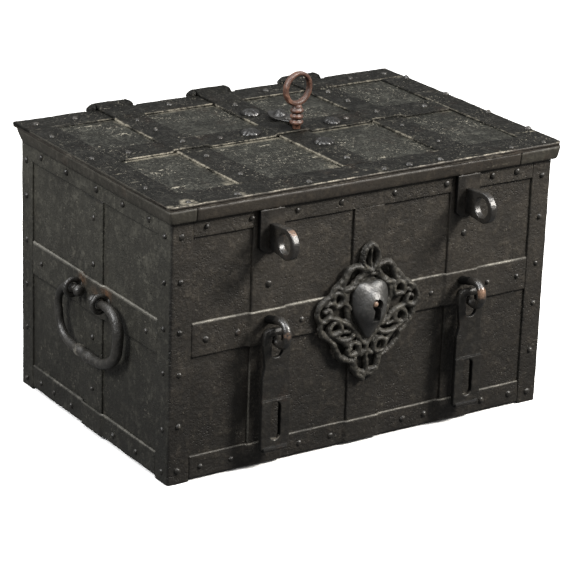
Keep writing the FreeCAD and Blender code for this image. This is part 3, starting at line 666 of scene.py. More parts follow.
# One rim iron in two tones: the darker front rim is painted shade, the lighter end rims painted light.
M_RIM = iron("iron_rim", (0.0150, 0.0126, 0.0099), (0.0225, 0.0190, 0.0150), (0.031, 0.0262, 0.0205), TAN, speck=0.10,
             mott=0.2, scratch=0.15, streak=(0.3, 0.3, 3), pits=0.3, bump=0.5)
M_RIM2 = iron("iron_end_rim", (0.0200, 0.0185, 0.0150), (0.0305, 0.0282, 0.0230), (0.042, 0.0388, 0.0316), TAN, speck=0.10,
              mott=0.2, scratch=0.15, streak=(0.3, 0.3, 3), pits=0.3, bump=0.5, spec=0.22)
M_RIVET = iron("iron_rivet", (0.0095, 0.0087, 0.0074), (0.0160, 0.0147, 0.0125), (0.028, 0.0258, 0.022), (0.20, 0.185, 0.155),
               spec=0.4, rough=0.34, pits=0.2, bump=0.4)
M_GLOSS = iron("iron_polished", (0.0034, 0.0032, 0.0028), (0.0062, 0.0058, 0.0050), (0.0120, 0.0112, 0.0098), (0.15, 0.14, 0.12),
               spec=0.45, rough=0.28, mott=0.25, pits=0.4, bump=0.22, grain=0.5, wear_and_highlight_lo=0.38, wear_and_highlight_hi=1.4)
M_DARK = iron("iron_shade", (0.0022, 0.0021, 0.0019), (0.0035, 0.0033, 0.0029), (0.006, 0.0056, 0.005), (0.05, 0.045, 0.038),
              spec=0.15, rough=0.6, pits=0.4, bump=0.5)
M_BAIL = iron("iron_bail", (0.0115, 0.0108, 0.0094), (0.0190, 0.0178, 0.0155), (0.031, 0.0290, 0.0255), (0.16, 0.148, 0.125),
              spec=0.5, rough=0.36, mott=0.25, pits=0.4, bump=0.7, wear_and_highlight_lo=0.2, wear_and_highlight_hi=1.0)
M_FIT = iron("iron_fitting", (0.0062, 0.0056, 0.0048), (0.0105, 0.0096, 0.0082), (0.0185, 0.0168, 0.0141), (0.17, 0.155, 0.128),
             spec=0.32, rough=0.42, mott=0.25, pits=0.4, bump=0.7, wear_and_highlight_lo=0.3, wear_and_highlight_hi=1.1)
M_COPPERY = iron("iron_rubbed", (0.0085, 0.0078, 0.0069), (0.0145, 0.0132, 0.0115), (0.026, 0.0232, 0.0195), (0.30, 0.185, 0.125),
                 spec=0.7, rough=0.31, pits=0.3, bump=0.5, wear_and_highlight_lo=0.3, wear_and_highlight_hi=1.1, metal=0.6)
M_BOSS = iron("iron_boss", (0.0165, 0.0161, 0.0150), (0.0270, 0.0264, 0.0247), (0.045, 0.0440, 0.0413), (0.22, 0.208, 0.187),
              spec=0.72, rough=0.37, mott=0.2, pits=0.4, bump=0.6, wear_and_highlight_lo=0.25, wear_and_highlight_hi=1.0)
M_SCROLL = iron("iron_scroll", (0.0140, 0.0129, 0.0104), (0.0250, 0.0231, 0.0188), (0.044, 0.0408, 0.0335), (0.15, 0.139, 0.115),
                spec=0.36, rough=0.44, mott=0.4, pits=0.6, bump=1.0, wear_and_highlight_lo=0.20, wear_and_highlight_hi=0.9)
M_LOCK = iron("iron_lock", (0.024, 0.022, 0.0195), (0.046, 0.0425, 0.0375), (0.085, 0.079, 0.070), (0.24, 0.22, 0.19),
              spec=0.5, rough=0.42, mott=0.3, mott_scale=90, scratch=0.3, pits=0.8, bump=0.7, rust=0.5, rust_col=(0.055, 0.030, 0.018), bare=0.45)
M_BOLT = iron("iron_bolt", (0.060, 0.056, 0.050), (0.105, 0.099, 0.090), (0.165, 0.157, 0.145), (0.30, 0.28, 0.25),
              spec=0.5, rough=0.34, mott=0.2, mott_scale=120, scratch=0.3, pits=0.6, bump=0.5, rust=0.35, rust_col=(0.075, 0.038, 0.020), bare=0.6)
M_KEY = iron("iron_key", (0.030, 0.0140, 0.0094), (0.066, 0.0305, 0.0200), (0.125, 0.062, 0.042), (0.31, 0.175, 0.12),
             spec=0.5, rough=0.40, rust=0.4, rust_col=(0.09, 0.032, 0.014), pits=0.3, bump=0.5, wear_and_highlight_lo=0.3, wear_and_highlight_hi=1.0)
M_COPPER = iron("copper_pin", (0.15, 0.095, 0.066), (0.20, 0.132, 0.094), (0.31, 0.215, 0.16), (0.45, 0.34, 0.27),
                spec=0.5, rough=0.42, pits=0.3, bump=0.4, rust=0.2, metal=0.4)


def shade(o, mat, pick):
    """Second material on the faces that pick(centres mm, normals) chooses."""
    me = o.data
    n = len(me.polygons)
    c, nn = np.empty(n * 3, np.float32), np.empty(n * 3, np.float32)
    me.polygons.foreach_get("center", c)
    me.polygons.foreach_get("normal", nn)
    me.materials.append(mat)
    me.polygons.foreach_set("material_index", pick(c.reshape(-1, 3) * 1000, nn.reshape(-1, 3)).astype(np.int32))
    return o


# ------------------------------------------------------------------ box plates
def paint_shade_under_straps(o):
    """Painted shadow in the corner below the straps that run across."""
    z = get_co(o.data)[:, 2] * 1000
    d = np.zeros(len(z))
    for zz, g in ((Z_TOPBAND, 0.85), (Z_MID0, 0.7)):
        d = np.maximum(d, g * np.exp(-(np.maximum(zz - z, 0) / 2.2) ** 2) * (z < zz + 2.7))
    set_float(o.data, "painted_shade", d)


def plate(node, part, mat, *layers):
    o = build(node + "_sheet", [part])
    roughen(o, *layers)
    paint_shade_under_straps(o)
    return finish_piece(o, mat, node)


WAVE = ((0.42, 95, 1), (0.20, 31, 2), (0.13, 10, 3), (0.09, 5.5, 4))
plate("front_plate", strap((0, 0, (FOOT + Z_WALL) / 2), (1, 0, 0), (0, 0, 1), (0, -1, 0), -PX, PX, Z_WALL - FOOT, t=TP,
                           r=0.4, base=IY, step=2.6, vstep=2.6, sink=0.0), M_FRONT, *WAVE)
plate("back_plate", strap((0, 0, (FOOT + Z_WALL) / 2), (1, 0, 0), (0, 0, 1), (0, 1, 0), -PX, PX, Z_WALL - FOOT, t=TP,
                          r=0.4, base=IY, step=2.6, vstep=2.6, sink=0.0), M_SIDE, *WAVE)
for nm, s in (("left_plate", -1), ("right_plate", 1)):
    plate(nm, strap((0, 0, (FOOT + Z_WALL) / 2), (0, 1, 0), (0, 0, 1), (s, 0, 0), -IY, IY, Z_WALL - FOOT, t=TP,
                    r=0.4, base=IX, step=2.6, vstep=2.6, sink=0.0), M_SIDE, *WAVE)
plate("floor_plate", strap((0, 0, 0), (1, 0, 0), (0, 1, 0), (0, 0, 1), -IX, IX, 2 * IY, t=4.5, r=0.4, base=0.05, step=8,
                           vstep=8, sink=0.0), M_SIDE, (0.04, 30, 2))

# ---------------------------------------------------------------- body straps
HAMMER = ((0.34, 42, 5), (0.22, 13, 6), (0.10, 5.5, 7))


def straps(node, parts, mat, layers=HAMMER):
    o = build(node + "_forged", parts)
    roughen(o, *layers)
    return finish_piece(o, mat, node)


# Upper edges get far more edge wear than lower ones: rubbed wear and painted highlight on the edges that face the
# light.
straps("front_top_strap", [front(-SX, SX, Z_TOPBAND, Z_WALL, left=0.12, right=0.2, r=0.8)], M_FRONT)
straps("front_middle_strap", [front(-SX, SX, Z_MID0, Z_MID1, UPX, left=0.12, right=0.72, r=1.9, band=0.9)], M_FRONT)
straps("front_bottom_strap", [front(-SX, SX, FOOT, Z_BOT, UPX, left=0.12, right=0.55, r=1.8, band=0.7)], M_FRONT)
fu = straps("front_uprights", [front_up(c, FOOT, Z_TOPBAND - 0.05, left=0.12, right=0.16, ends=False) for c in UPX], M_FRONT)
q = get_co(fu.data) * 1000
wa = np.empty(len(q), np.float32)
fu.data.attributes["wear_and_highlight"].data.foreach_get("value", wa)
# painted light: a pale line down the lower left edge of the left upright, in place of the edge's shade
painted_edge_light = 0.5 * (q[:, 0] > UPX[0] - STRAP / 2 - 2) * (q[:, 0] < UPX[0] - STRAP / 2 + 1.3) * ease((132.0 - q[:, 2]) / 12.0)
set_float(fu.data, "wear_and_highlight", np.maximum(wa, painted_edge_light))
straps("back_top_strap", [front(-SX, SX, Z_TOPBAND, Z_WALL, back=True, left=0.25, right=0.3)], M_SIDE)
straps("back_middle_strap", [front(-SX, SX, Z_MID0, Z_MID1, back=True, left=0.25, right=0.9)], M_SIDE)
straps("back_bottom_strap", [front(-SX, SX, FOOT, Z_BOT, back=True, left=0.2, right=0.9)], M_SIDE)
straps("end_top_straps", [end(s, -SY, SY, Z_TOPBAND, Z_WALL, left=0.15, right=0.2, r=0.8) for s in (-1, 1)], M_SIDE)
ems = straps("end_middle_straps", [end(s, -SY, SY, Z_MID0, Z_MID1 + 1, (UPY,), left=0.12, right=0.95, r=1.9, band=1.9, tips=0.3)
                                   for s in (-1, 1)], M_SIDE)
co = get_co(ems.data) * 1000
st = 0.0
for y, z, a, b, g in ((-33, 176, 10, 6, 0.55), (20, 178, 9, 6, 0.45), (-20, 171, 16, 6, 0.25)):
    st = np.maximum(st, g * np.exp(-((co[:, 1] - y) / a) ** 2 - ((co[:, 2] - z) / b) ** 2))
set_float(ems.data, "stain", st)
straps("end_bottom_straps", [end(s, -SY, SY, FOOT, Z_BOT + 1, (UPY,), left=0.2, right=0.62, r=1.9, band=1.2, tips=0.2) for s in (-1, 1)], M_SIDE)
eu = straps("end_uprights", [end_up(s, UPY, FOOT, Z_TOPBAND - 0.05, left=0.12, right=0.5, ends=False) for s in (-1, 1)], M_SIDE)
paint_shade_under_straps(eu)


def corner(sx, sy):
    """Angle iron folded round a corner of the box."""
    R, r = 3.2, 0.95
    loop, tag = [], []

    def add(x, y, t):
        loop.append((x, y))
        tag.append(t)
    add(HX - 0.3, HY - CORNER, 0.1)
    for k in range(6):
        y = HY - CORNER + r + (CORNER - R - r) * k / 5
        add(HX, y, 0.12 if k == 0 else 0.0)
    for k in range(1, 6):
        g = math.radians(15 * k)
        add(HX - R + R * math.cos(g), HY - R + R * math.sin(g), 0.22)
    for k in range(6):
        x = HX - R - (CORNER - R - r) * k / 5
        add(x, HY, 0.12 if k == 5 else 0.0)
    add(HX - CORNER, HY - 0.3, 0.1)
    add(HX - CORNER, PY - 0.7, 0.0)
    add(PX - 0.7, PY - 0.7, 0.0)
    add(PX - 0.7, HY - CORNER, 0.0)
    sec = np.array(loop) * np.array([sx, sy])
    z = stations(0.15, Z_WALL, 2.6, 1.0)
    d = np.minimum(z - 0.15, Z_WALL - z)
    drop = np.where(d < 1.0, 1 - np.sqrt(np.maximum(1 - (1 - d) ** 2, 0)), 0)
    rings = np.zeros((len(z), len(sec), 3))
    for k, zz in enumerate(z):
        q = sec.copy()
        q[:, 0] -= sx * drop[k] * (np.abs(sec[:, 0]) > HX - 0.5)
        q[:, 1] -= sy * drop[k] * (np.abs(sec[:, 1]) > HY - 0.5)
        rings[k, :, :2] = q
        rings[k, :, 2] = zz
    return loft(rings, np.array(tag))


for nm, sx, sy in (("front_left", -1, -1), ("front_right", 1, -1), ("back_left", -1, 1), ("back_right", 1, 1)):
    o = build(nm + "_corner_iron_forged", [corner(sx, sy)])
    roughen(o, (0.26, 50, 8), (0.2, 14, 9), (0.1, 5.5, 10))
    finish_piece(o, M_FRONT if sy < 0 else M_SIDE, nm + "_corner_iron")
    q = get_co(o.data) * 1000
    # painted shade: a dark line down the arris of the front corners
    set_float(o.data, "painted_shade", 0.8 * np.exp(-((np.abs(q[:, 0]) - HX + np.abs(q[:, 1]) - HY + 1.9) / 0.9) ** 2) * (sy < 0))
    # painted light: the end-facing faces of the front corner irons take the lighter end tone
    if sy < 0:
        shade(o, M_SIDE, lambda c, n: np.abs(n[:, 0]) > 0.75)


# ------------------------------------------------------------------------- lid
def keyway(z0, z1, r, w, reach):
    g = np.linspace(0, 2 * math.pi, 32, endpoint=False)
    a = math.asin(w / 2 / r)
    pts = [(KX + w / 2, KY + reach), (KX - w / 2, KY + reach)]
    for k in range(25):
        t = math.pi / 2 + a + (2 * math.pi - 2 * a) * k / 24
        pts.append((KX + r * math.cos(t), KY + r * math.sin(t)))
    p = np.array(pts)
    rings = [np.column_stack([p, np.full(len(p), z)]) for z in (z0, z1)]
    return build("keyway_cutter", [loft(np.array(rings))])


def clip_corners(o, c=4.5):
    """Front corners of the lid cut off at a slant."""
    q = get_co(o.data) * 1000
    sx = np.sign(q[:, 0])
    a = np.abs(q[:, 0]) - (LV_X - c)
    b = (LV_Y0 + c) - q[:, 1]
    over = np.where((a > 0) & (b > 0), np.maximum(a + b - c, 0), 0)
    q[:, 0] -= sx * over / 2
    q[:, 1] += over / 2
    set_co(o.data, q * 0.001)


lid = build("lid_plate_sheet", [strap((0, (LV_Y0 + LID_Y1) / 2 + 0.15, 0), (1, 0, 0), (0, 1, 0), (0, 0, 1), -LV_X + 0.3, LV_X - 0.3,
                                      LID_Y1 - LV_Y0 - 0.3, t=TP, r=0.5, base=Z_LID0, step=2.6, vstep=2.6, sink=0.0)])
roughen(lid, (0.5, 60, 21), (0.30, 17, 22), (0.22, 6.5, 23))
co = get_co(lid.data)
for c in LCX:       # notches at the hinges
    k = (np.abs(co[:, 0] * 1000 - c) < 33.5) & (co[:, 1] * 1000 > NOTCH_Y - 0.3)
    co[k, 1] = np.minimum(co[k, 1], (NOTCH_Y - 0.3) * 0.001)
set_co(lid.data, co)
x, y, top = co[:, 0] * 1000, co[:, 1] * 1000, co[:, 2] * 1000 > Z_LID1 - 1
dust = np.zeros(len(co))
for c, g in zip(LCX, (0.85, 0.7, 0.4)):
    dust = np.maximum(dust, 0.6 * g * np.exp(-(np.maximum(c - 20 - x, 0) / 3.6) ** 2) * (x < c - 17) * (y > LS_Y0 - 3) * (y < LS_Y1))
dust = np.maximum(dust, np.clip(0.85 - 0.0016 * x, 0.4, 1.0) * 0.9 * np.exp(-(np.maximum(LM_Y0 - y, 0) / 6.0) ** 2) * (y < LM_Y0 + 3) * (np.abs(x) < LS_X))
dust = np.maximum(dust, 0.5 * np.exp(-(np.maximum(LS_Y1 - y, 0) / 6.0) ** 2) * (y < LS_Y1 + 3) * (np.abs(x) < LS_X) * (x < 60))
for c in (-151.0, -17.0):
    dust = np.maximum(dust, 0.8 * np.exp(-(np.hypot(x - c + 6, (y - LS_Y0 - 5) * 0.7) / 9.0) ** 2))
edge = 0.30 * ((y < LV_Y0 + 0.6) | (np.abs(x) > LV_X - 0.8))
set_float(lid.data, "wear_and_highlight", np.maximum(dust * top, edge))
clip_corners(lid)
cut(lid, keyway(305, 335, 5.6, 5.6, 19.5))
sharpen(lid, 50)
finish_piece(lid, M_FIELD, "lid_plate")


LOCK_RIVETS = ((-42, 11, 11.8), (66, 7, 10.4), (0, 78, 11.3), (13, -55, 11.8))


def paint_keyhole_shade(o):
    """Painted shade round the keyhole and painted shadow rings round the lock rivets."""
    q = get_co(o.data) * 1000
    d = np.hypot((q[:, 0] - KX + 5.0) / 16.0, (q[:, 1] - KY - 3.0) / 13.0)
    k = 0.97 * ease((1.15 - d) / 0.45)
    for x, y, r in LOCK_RIVETS:
        k = np.maximum(k, 0.85 * np.exp(-((np.hypot(q[:, 0] - x, q[:, 1] - y) - r - 0.5) / 2.6) ** 2))
    set_float(o.data, "painted_shade", k * (q[:, 2] > Z_LID1 + 1))


# The lid's front and end side faces take the lighter rim tones: painted light, so no dark line shows along the lid's
# edge.
def lid_edge(c, n):
    return ((n[:, 1] < -0.6) & (c[:, 1] < -170)) | ((np.abs(n[:, 0]) > 0.6) & (np.abs(c[:, 0]) > 253) & (c[:, 1] < 167))


shade(lid, M_RIM, lid_edge)

LIDHAM = ((0.40, 38, 24), (0.26, 12, 25), (0.16, 5.5, 26))
fs = straps("lid_front_strap", [top_x(-LV_X, LV_X, LV_Y0, LS_Y0, left=0.62, right=0.34, step=2.6, vstep=2.8, skirt=0.1)], M_LID, LIDHAM)
clip_corners(fs)
q = get_co(fs.data) * 1000
spots = np.zeros(len(q))
for x, y, a, g in ((-230, -167, 6.0, 0.8), (-171, -167, 6.0, 0.7), (-254, -170, 0.0, 0.9), (16, -167, 6.0, 0.35), (190, -167, 6.0, 0.3)):
    spots = np.maximum(spots, g * np.exp(-((np.hypot(q[:, 0] - x, q[:, 1] - y) - a) / 4.5) ** 2))
wa = np.empty(len(q), np.float32)
fs.data.attributes["wear_and_highlight"].data.foreach_get("value", wa)
set_float(fs.data, "wear_and_highlight", np.maximum(wa, spots * (q[:, 2] > Z_LID1 + 1)))
shade(fs, M_RIM, lid_edge)
bs = build("lid_back_strap_forged", [top_x(-LV_X, LV_X, LS_Y1, LID_Y1, left=0.55, right=0.2, step=3, vstep=3.3)])
roughen(bs, *LIDHAM)
co = get_co(bs.data)
for c in LCX:
    k = (np.abs(co[:, 0] * 1000 - c) < 33.0) & (co[:, 1] * 1000 > NOTCH_Y - 0.2)
    co[k, 1] = np.minimum(co[k, 1], (NOTCH_Y - 0.2) * 0.001)
set_co(bs.data, co)
finish_piece(bs, M_LID, "lid_back_strap")
shade(straps("lid_left_strap", [top_y(-LV_X, -LS_X, LS_Y0, LS_Y1, left=0.22, right=0.28, step=3, vstep=3.3)], M_LID, LIDHAM), M_RIM2, lid_edge)
shade(straps("lid_right_strap", [top_y(LS_X, LV_X, LS_Y0, LS_Y1, left=0.45, right=0.3, step=3, vstep=3.3)], M_LID, LIDHAM), M_RIM2, lid_edge)
v, f, t = top_x(-LS_X, LS_X, LM_Y0, LM_Y1, LCX, left=0.6, right=0.25, step=3, vstep=3.3)
ms = build("lid_middle_strap_forged", [(v, f, t * np.clip(0.85 - 0.0016 * v[:, 0], 0.4, 1.0))])
roughen(ms, *LIDHAM)
cut(ms, keyway(305, 335, 5.6, 5.6, 19.5))
sharpen(ms, 50)
finish_piece(ms, M_LID, "lid_middle_strap")
paint_keyhole_shade(ms)

hs = []
for c in LCX:
    pth = [(y, Z_LID1) for y in np.arange(LS_Y0, 126.0, 3.0)]
    pth += [(126.0 + 1.1 * k, Z_LID1 + TS * float(ease(np.array((1.1 * k) / 6.6)))) for k in range(1, 7)]
    pth += [(y, Z_TOP) for y in np.arange(134.0, 161.0, 3.0)]
    pth += [(162.5, 317.7, 2.5), (165.5, 318.3, 2.6), (168.3, 318.9, 3.0), (171.0, 319.6, 3.5), (173.6, 320.1, 3.7)]
    for g in range(90, -181, -15):
        a = math.radians(g)
        pth.append((AX_Y + 2.75 * math.cos(a), AX_Z + 2.75 * math.sin(a), 3.7))
    v, f, t = ribbon(pth, STRAP - 0.6, TS, c, step_v=3.0, r=1.6, left=0.95 - 0.0014 * (c + 131), right=0.2, skirt=0.8)
    hs.append((v, f, t * np.where(v[:, 1] > 129.0, 0.15, 1.0)))
hso = build("lid_hinge_straps_forged", hs)
roughen(hso, *LIDHAM)
cut(hso, keyway(305, 335, 5.6, 5.6, 19.5))
sharpen(hso, 50)
finish_piece(hso, M_LID, "lid_hinge_straps")
paint_keyhole_shade(hso)

lv = []
for c in LCX:
    up = lambda z: (TS * float(ease(np.array((z - (Z_MID0 - 5.6)) / 5.2)) * ease(np.array((Z_MID1 + 5.6 - z) / 5.2)))
                    + TS * float(ease(np.array((Z_BOT + 5.6 - z) / 5.2))) + TS * float(ease(np.array((z - (Z_TOPBAND - 5.6)) / 5.2))))
    zs = np.unique(np.concatenate([np.arange(FOOT, 301.0, 4.0), np.arange(28, 38, 1.0), np.arange(135, 146, 1.0),
                                   np.arange(180, 190, 1.0), np.arange(270, 280, 1.0)]))
    lv.append(strap((c, 0, 0), (0, 0, 1), (1, 0, 0), (0, 1, 0), FOOT, 303.0, STRAP, base=PY,
                    path=lambda u: np.array([up(z) for z in u]), step=3.0, left=0.6, right=0.6))
    lv.append(strap((c, 0, 0), (0, 0, 1), (1, 0, 0), (0, 1, 0), 284.0, 303.5, 62.0, base=HY, step=3.0, left=0.6, right=0.6, sink=0.1))
    for s in (-1, 1):
        pth = [(167.5, 296.0), (167.5, 299.0), (167.6, 302.0), (168.0, 305.5), (168.6, 309.0), (169.1, 312.0)]
        pth = [(y, z, 2.4 + 0.05 * k) for k, (y, z) in enumerate(pth)]
        tab = []
        for k, (y, z, t) in enumerate(pth):
            tab.append((y + t, z, t))
        for g in range(180, -151, -15):
            a = math.radians(g)
            tab.append((AX_Y + 2.75 * math.cos(a), AX_Z + 2.75 * math.sin(a), 3.7))
        xc = c + s * 25.6
        v, f, t = ribbon(tab, 10.6, 2.6, xc, step_v=1.0, r=0.7, left=0.1, right=0.1)
        dv = v[:, 1:] - np.array([AX_Y, AX_Z])
        far = np.linalg.norm(dv, axis=1)
        top = ease((v[:, 2] - 308.0) / 4.0)
        lim = np.interp(np.abs(v[:, 0] - c), (20.6, 23.0, 26.0, 28.9, 30.95), (6.45, 5.9, 4.6, 2.9, 0.5))
        new = np.where(far > 3.2, np.minimum(far, lim), np.minimum(far, 0.9 * lim))
        k = (far < 7.5)
        v[k, 1:] = np.array([AX_Y, AX_Z]) + dv[k] * (new[k] / far[k] * top[k] + 1 - top[k])[:, None]
        # the end of the barrel is closed
        lv.append(lathe([(2.4, 27.2), (3.2, 28.0), (2.9, 28.9), (1.9, 29.9), (0.5, 30.95)], (c, AX_Y, AX_Z), (s, 0, 0), 20))
        lv.append((v, f, t))
lvo = build("hinge_leaves_forged", lv)
roughen(lvo, (0.2, 40, 31), (0.1, 12, 32), (0.04, 5, 33))
finish_piece(lvo, M_SIDE, "hinge_leaves")
shade(lvo, M_LID, lambda c, n: c[:, 2] > 306.0)


# rim round the front and the ends of the lid
def rim_section():
    """(X, Y, z) of the rim's skin: half width and front, from inside round to inside."""
    pts = [(251.4, -168.8, Z_LID0), (251.4, -168.8, 305.0), (251.4, -168.8, RIM_Z + 0.8), (251.9, -169.4, RIM_Z + 0.1),
           (252.9, -171.2, RIM_Z), (253.7, -172.2, RIM_Z + 0.4), (254.3, -172.8, RIM_Z + 1.4), (255.0, -173.2, RIM_Z + 3.2),
           (255.6, -173.6, RIM_Z + 6.0), (256.1, -173.9, RIM_Z + 9.0), (256.6, -174.2, RIM_Z + 12.0), (257.0, -174.4, Z_LID0)]
    tag = [0, 0, 0, 0.05, 0.1, 0.15, 0.12, 0.05, 0, 0, 0, 0]
    return np.array(pts), np.array(tag, float)


def rim_run(side, x_from, chamfer=3.6):
    sec, tag = rim_section()
    rings = []
    X, Y, Z = sec.T
    n = int(abs(x_from + side * -250) / 4)
    for x in np.concatenate([[x_from, x_from + side * 0.5], np.linspace(x_from + side * 3, side * 248, n)]):
        k = 0.6 if abs(x - x_from) < 0.2 else 0.0
        rings.append(np.column_stack([np.full(len(sec), x), Y + k * (Y < -170), Z]))
    for q in (0.0, 0.25, 0.5, 0.75, 1.0):
        cx = side * (X - chamfer * (1 - q) * (X > 252))
        cy = Y + chamfer * q * (X > 252)
        bulge = 1.0 * math.sin(math.pi * q)
        rings.append(np.column_stack([cx + side * bulge * 0.7 * (X > 252), cy - bulge * 0.7 * (X > 252), Z]))
    for y in np.linspace(-160, 150, 72):
        rings.append(np.column_stack([side * X, np.full(len(sec), y), Z]))
    for y, sh in ((158, 0.55), (163, 0.85), (165.5, 1.0)):
        yy = y - sh * np.clip((310 - Z) / 13, 0, 1) * 9.0
        rings.append(np.column_stack([side * (X - (0.5 if sh == 1.0 else 0.0)), yy, Z]))
    return loft(np.array(rings), tag)


JL, JR = -223.0, 200.0
for nm, part in (("lid_left_rim", rim_run(-1, JL - 0.25)), ("lid_right_rim", rim_run(1, JR + 0.25))):
    o = build(nm + "_forged", [part])
    roughen(o, (0.22, 60, 41), (0.10, 16, 42), (0.04, 6, 43))
    finish_piece(o, M_RIM2, nm)
sec, tag = rim_section()
xs = np.concatenate([[JL + 0.25, JL + 0.8], np.linspace(JL + 4, JR - 4, 105), [JR - 0.8, JR - 0.25]])
rings = [np.column_stack([np.full(len(sec), x), sec[:, 1] + (0.6 if i in (0, len(xs) - 1) else 0) * (sec[:, 1] < -170), sec[:, 2]])
         for i, x in enumerate(xs)]
o = build("lid_front_rim_forged", [loft(np.array(rings), tag)])
roughen(o, (0.22, 60, 44), (0.10, 16, 45), (0.04, 6, 46))
finish_piece(o, M_RIM, "lid_front_rim")

# ---------------------------------------------------------------------- rivets
riv, k = [], 100


def rv(p, n, r=3.5, h=2.5, **kw):
    global k
    k += 1
    riv.append(dome(p, n, r * (1 + 0.12 * math.sin(k * 12.9898)), h * (1 + 0.2 * math.sin(k * 7.233)), k, **kw))


# Rivet crowns carry rubbed wear and a painted highlight; the rub is set lower on the front faces, painted shade that
# keeps those rivets darker.
yf = -HY
for x in (-207.5, -152.0, -94.4, -38.0, 32.0, 102.4, 166.0, 200.2):
    rv((x, yf, 288.5), (0, -1, 0), rub=0.15)
for x in (-205.4, -165.5, -83.7, 89.0, 167.9, 209.5):
    rv((x, yf, 162.0), (0, -1, 0), rub=0.4)
for x in (-209.0, -170.0, -82.0, -40.0, 58.0, 88.0, 170.0, 209.5):
    rv((x, yf, 16.0), (0, -1, 0), rub=0.3)
for x, z in ((-128.0, 211.0), (130.4, 227.0)):
    rv((x, yf, z), (0, -1, 0), rub=0.3)
for z in (281.0, 231.5, 175.0, 126.5, 68.0, 16.0):
    rv((-237.5, yf, z), (0, -1, 0), rub=0.45)
    rv((237.0, yf, z - 2), (0, -1, 0), rub=0.45)
for x in (-205.0, -165.0, -60.0, 66.0, 168.0, 206.0):
    for z in (291.0, 162.0, 16.0):
        rv((x, HY, z), (0, 1, 0))
for sx in (-1, 1):
    for z in (281.0, 231.5, 175.0, 126.5, 68.0, 16.0):
        rv((sx * 237.0, HY, z), (0, 1, 0))
SUB = {"rub": 0.4}
for s in (-1, 1):
    x, n = s * HX, (s, 0, 0)
    for z in (276.0, 234.0, 181.0, 127.0, 74.0, 10.0):
        rv((x, 154.5, z), n, **SUB)
    for z in (280.0, 229.0, 177.0, 127.0, 62.0, 13.0):
        rv((x, -154.5, z), n, **SUB)
    for y in (119.0, 60.0, -8.0, -65.0, -121.0):
        rv((x, y, 288.5), n, **SUB)
    for z in (254.0, 201.0, 115.0, 54.0):
        rv((x, UPY, z), n, **SUB)
    for y in (118.0, -118.0):
        rv((x, y, 162.5), n, **SUB)
    for y in (120.0, 88.0, 46.0, -50.0, -100.0):
        rv((x, y, 15.0), n, **SUB)
finish_piece(build("body_rivets_domed", riv), M_RIVET, "body_rivets")

riv = []
up = (0, 0, 1)
for x in (-230.0, -171.0, -81.0, 16.0, 50.0, 92.0, 190.0, 236.0):
    rv((x, -167.0, Z_TOP), up, lump=0.12, rub=0.45)
for y in (100.0, 8.0, -108.0):
    rv((-247.0, y, Z_TOP), up, lump=0.12, rub=0.45)
for y in (121.0, 41.0, -43.0, -117.0):
    rv((252.6, y, Z_TOP), up, r=4.0, h=3.6, lump=0.12, rub=0.45)
for x in (-240.0, -190.0, -66.0, 68.0, 190.0, 240.0):
    rv((x, 151.0, Z_TOP), up, lump=0.12, rub=0.45)
for c in (LCX[0], LCX[2]):
    for y in (-110.0, -40.0, 11.5, 70.0, 112.0):
        rv((c, y, Z_TOP + (TS if y == 11.5 else 0)), up, lump=0.12, rub=0.45)
for y in (-115.0, 116.0):
    rv((LCX[1], y, Z_TOP), up, lump=0.12, rub=0.45)
for x in (-200.0, -82.0, 88.0, 200.0):
    rv((x, 11.5, Z_TOP), up, lump=0.12, rub=0.45)
finish_piece(build("lid_rivets_domed", riv), M_RIVET, "lid_rivets")

riv = []
for x, y, r, ph in ((-42, 11, 11.8, 0.3), (66, 7, 10.4, 1.1), (0, 78, 11.3, 2.0), (13, -55, 11.8, 0.8)):
    ang = np.linspace(0, 2 * math.pi, 56, endpoint=False)
    rings = [np.column_stack([r * np.cos(ang), r * np.sin(ang), np.full(56, -0.6)])]
    for a, b in ((1.0, 0.3), (0.98, 1.3), (0.9, 2.5), (0.78, 3.5), (0.64, 4.25), (0.5, 4.75), (0.36, 5.05), (0.22, 5.2), (0.08, 5.25)):
        fl = np.abs(np.sin(3.5 * ang + ph)) ** 0.7
        rad = r * a * (0.9 + 0.1 * fl * min(1, 1.6 * a))
        rings.append(np.column_stack([rad * np.cos(ang), rad * np.sin(ang), b * (0.80 + 0.20 * fl) if a > 0.3 else np.full(56, b)]))
    v, f, t = loft(np.array(rings), np.array([0.0, 0.3, 0.5, 0.5, 0.5, 0.4, 0.2, 0.0, 0.0, 0.0])[:, None] * np.ones((1, 56)))
    riv.append((v + np.array([x, y, Z_TOP]), f, t))
lk = build("lock_rivets_domed", riv)
roughen(lk, (0.45, 7.5, 51), (0.10, 3.2, 52))
finish_piece(lk, M_GLOSS, "lock_rivets")

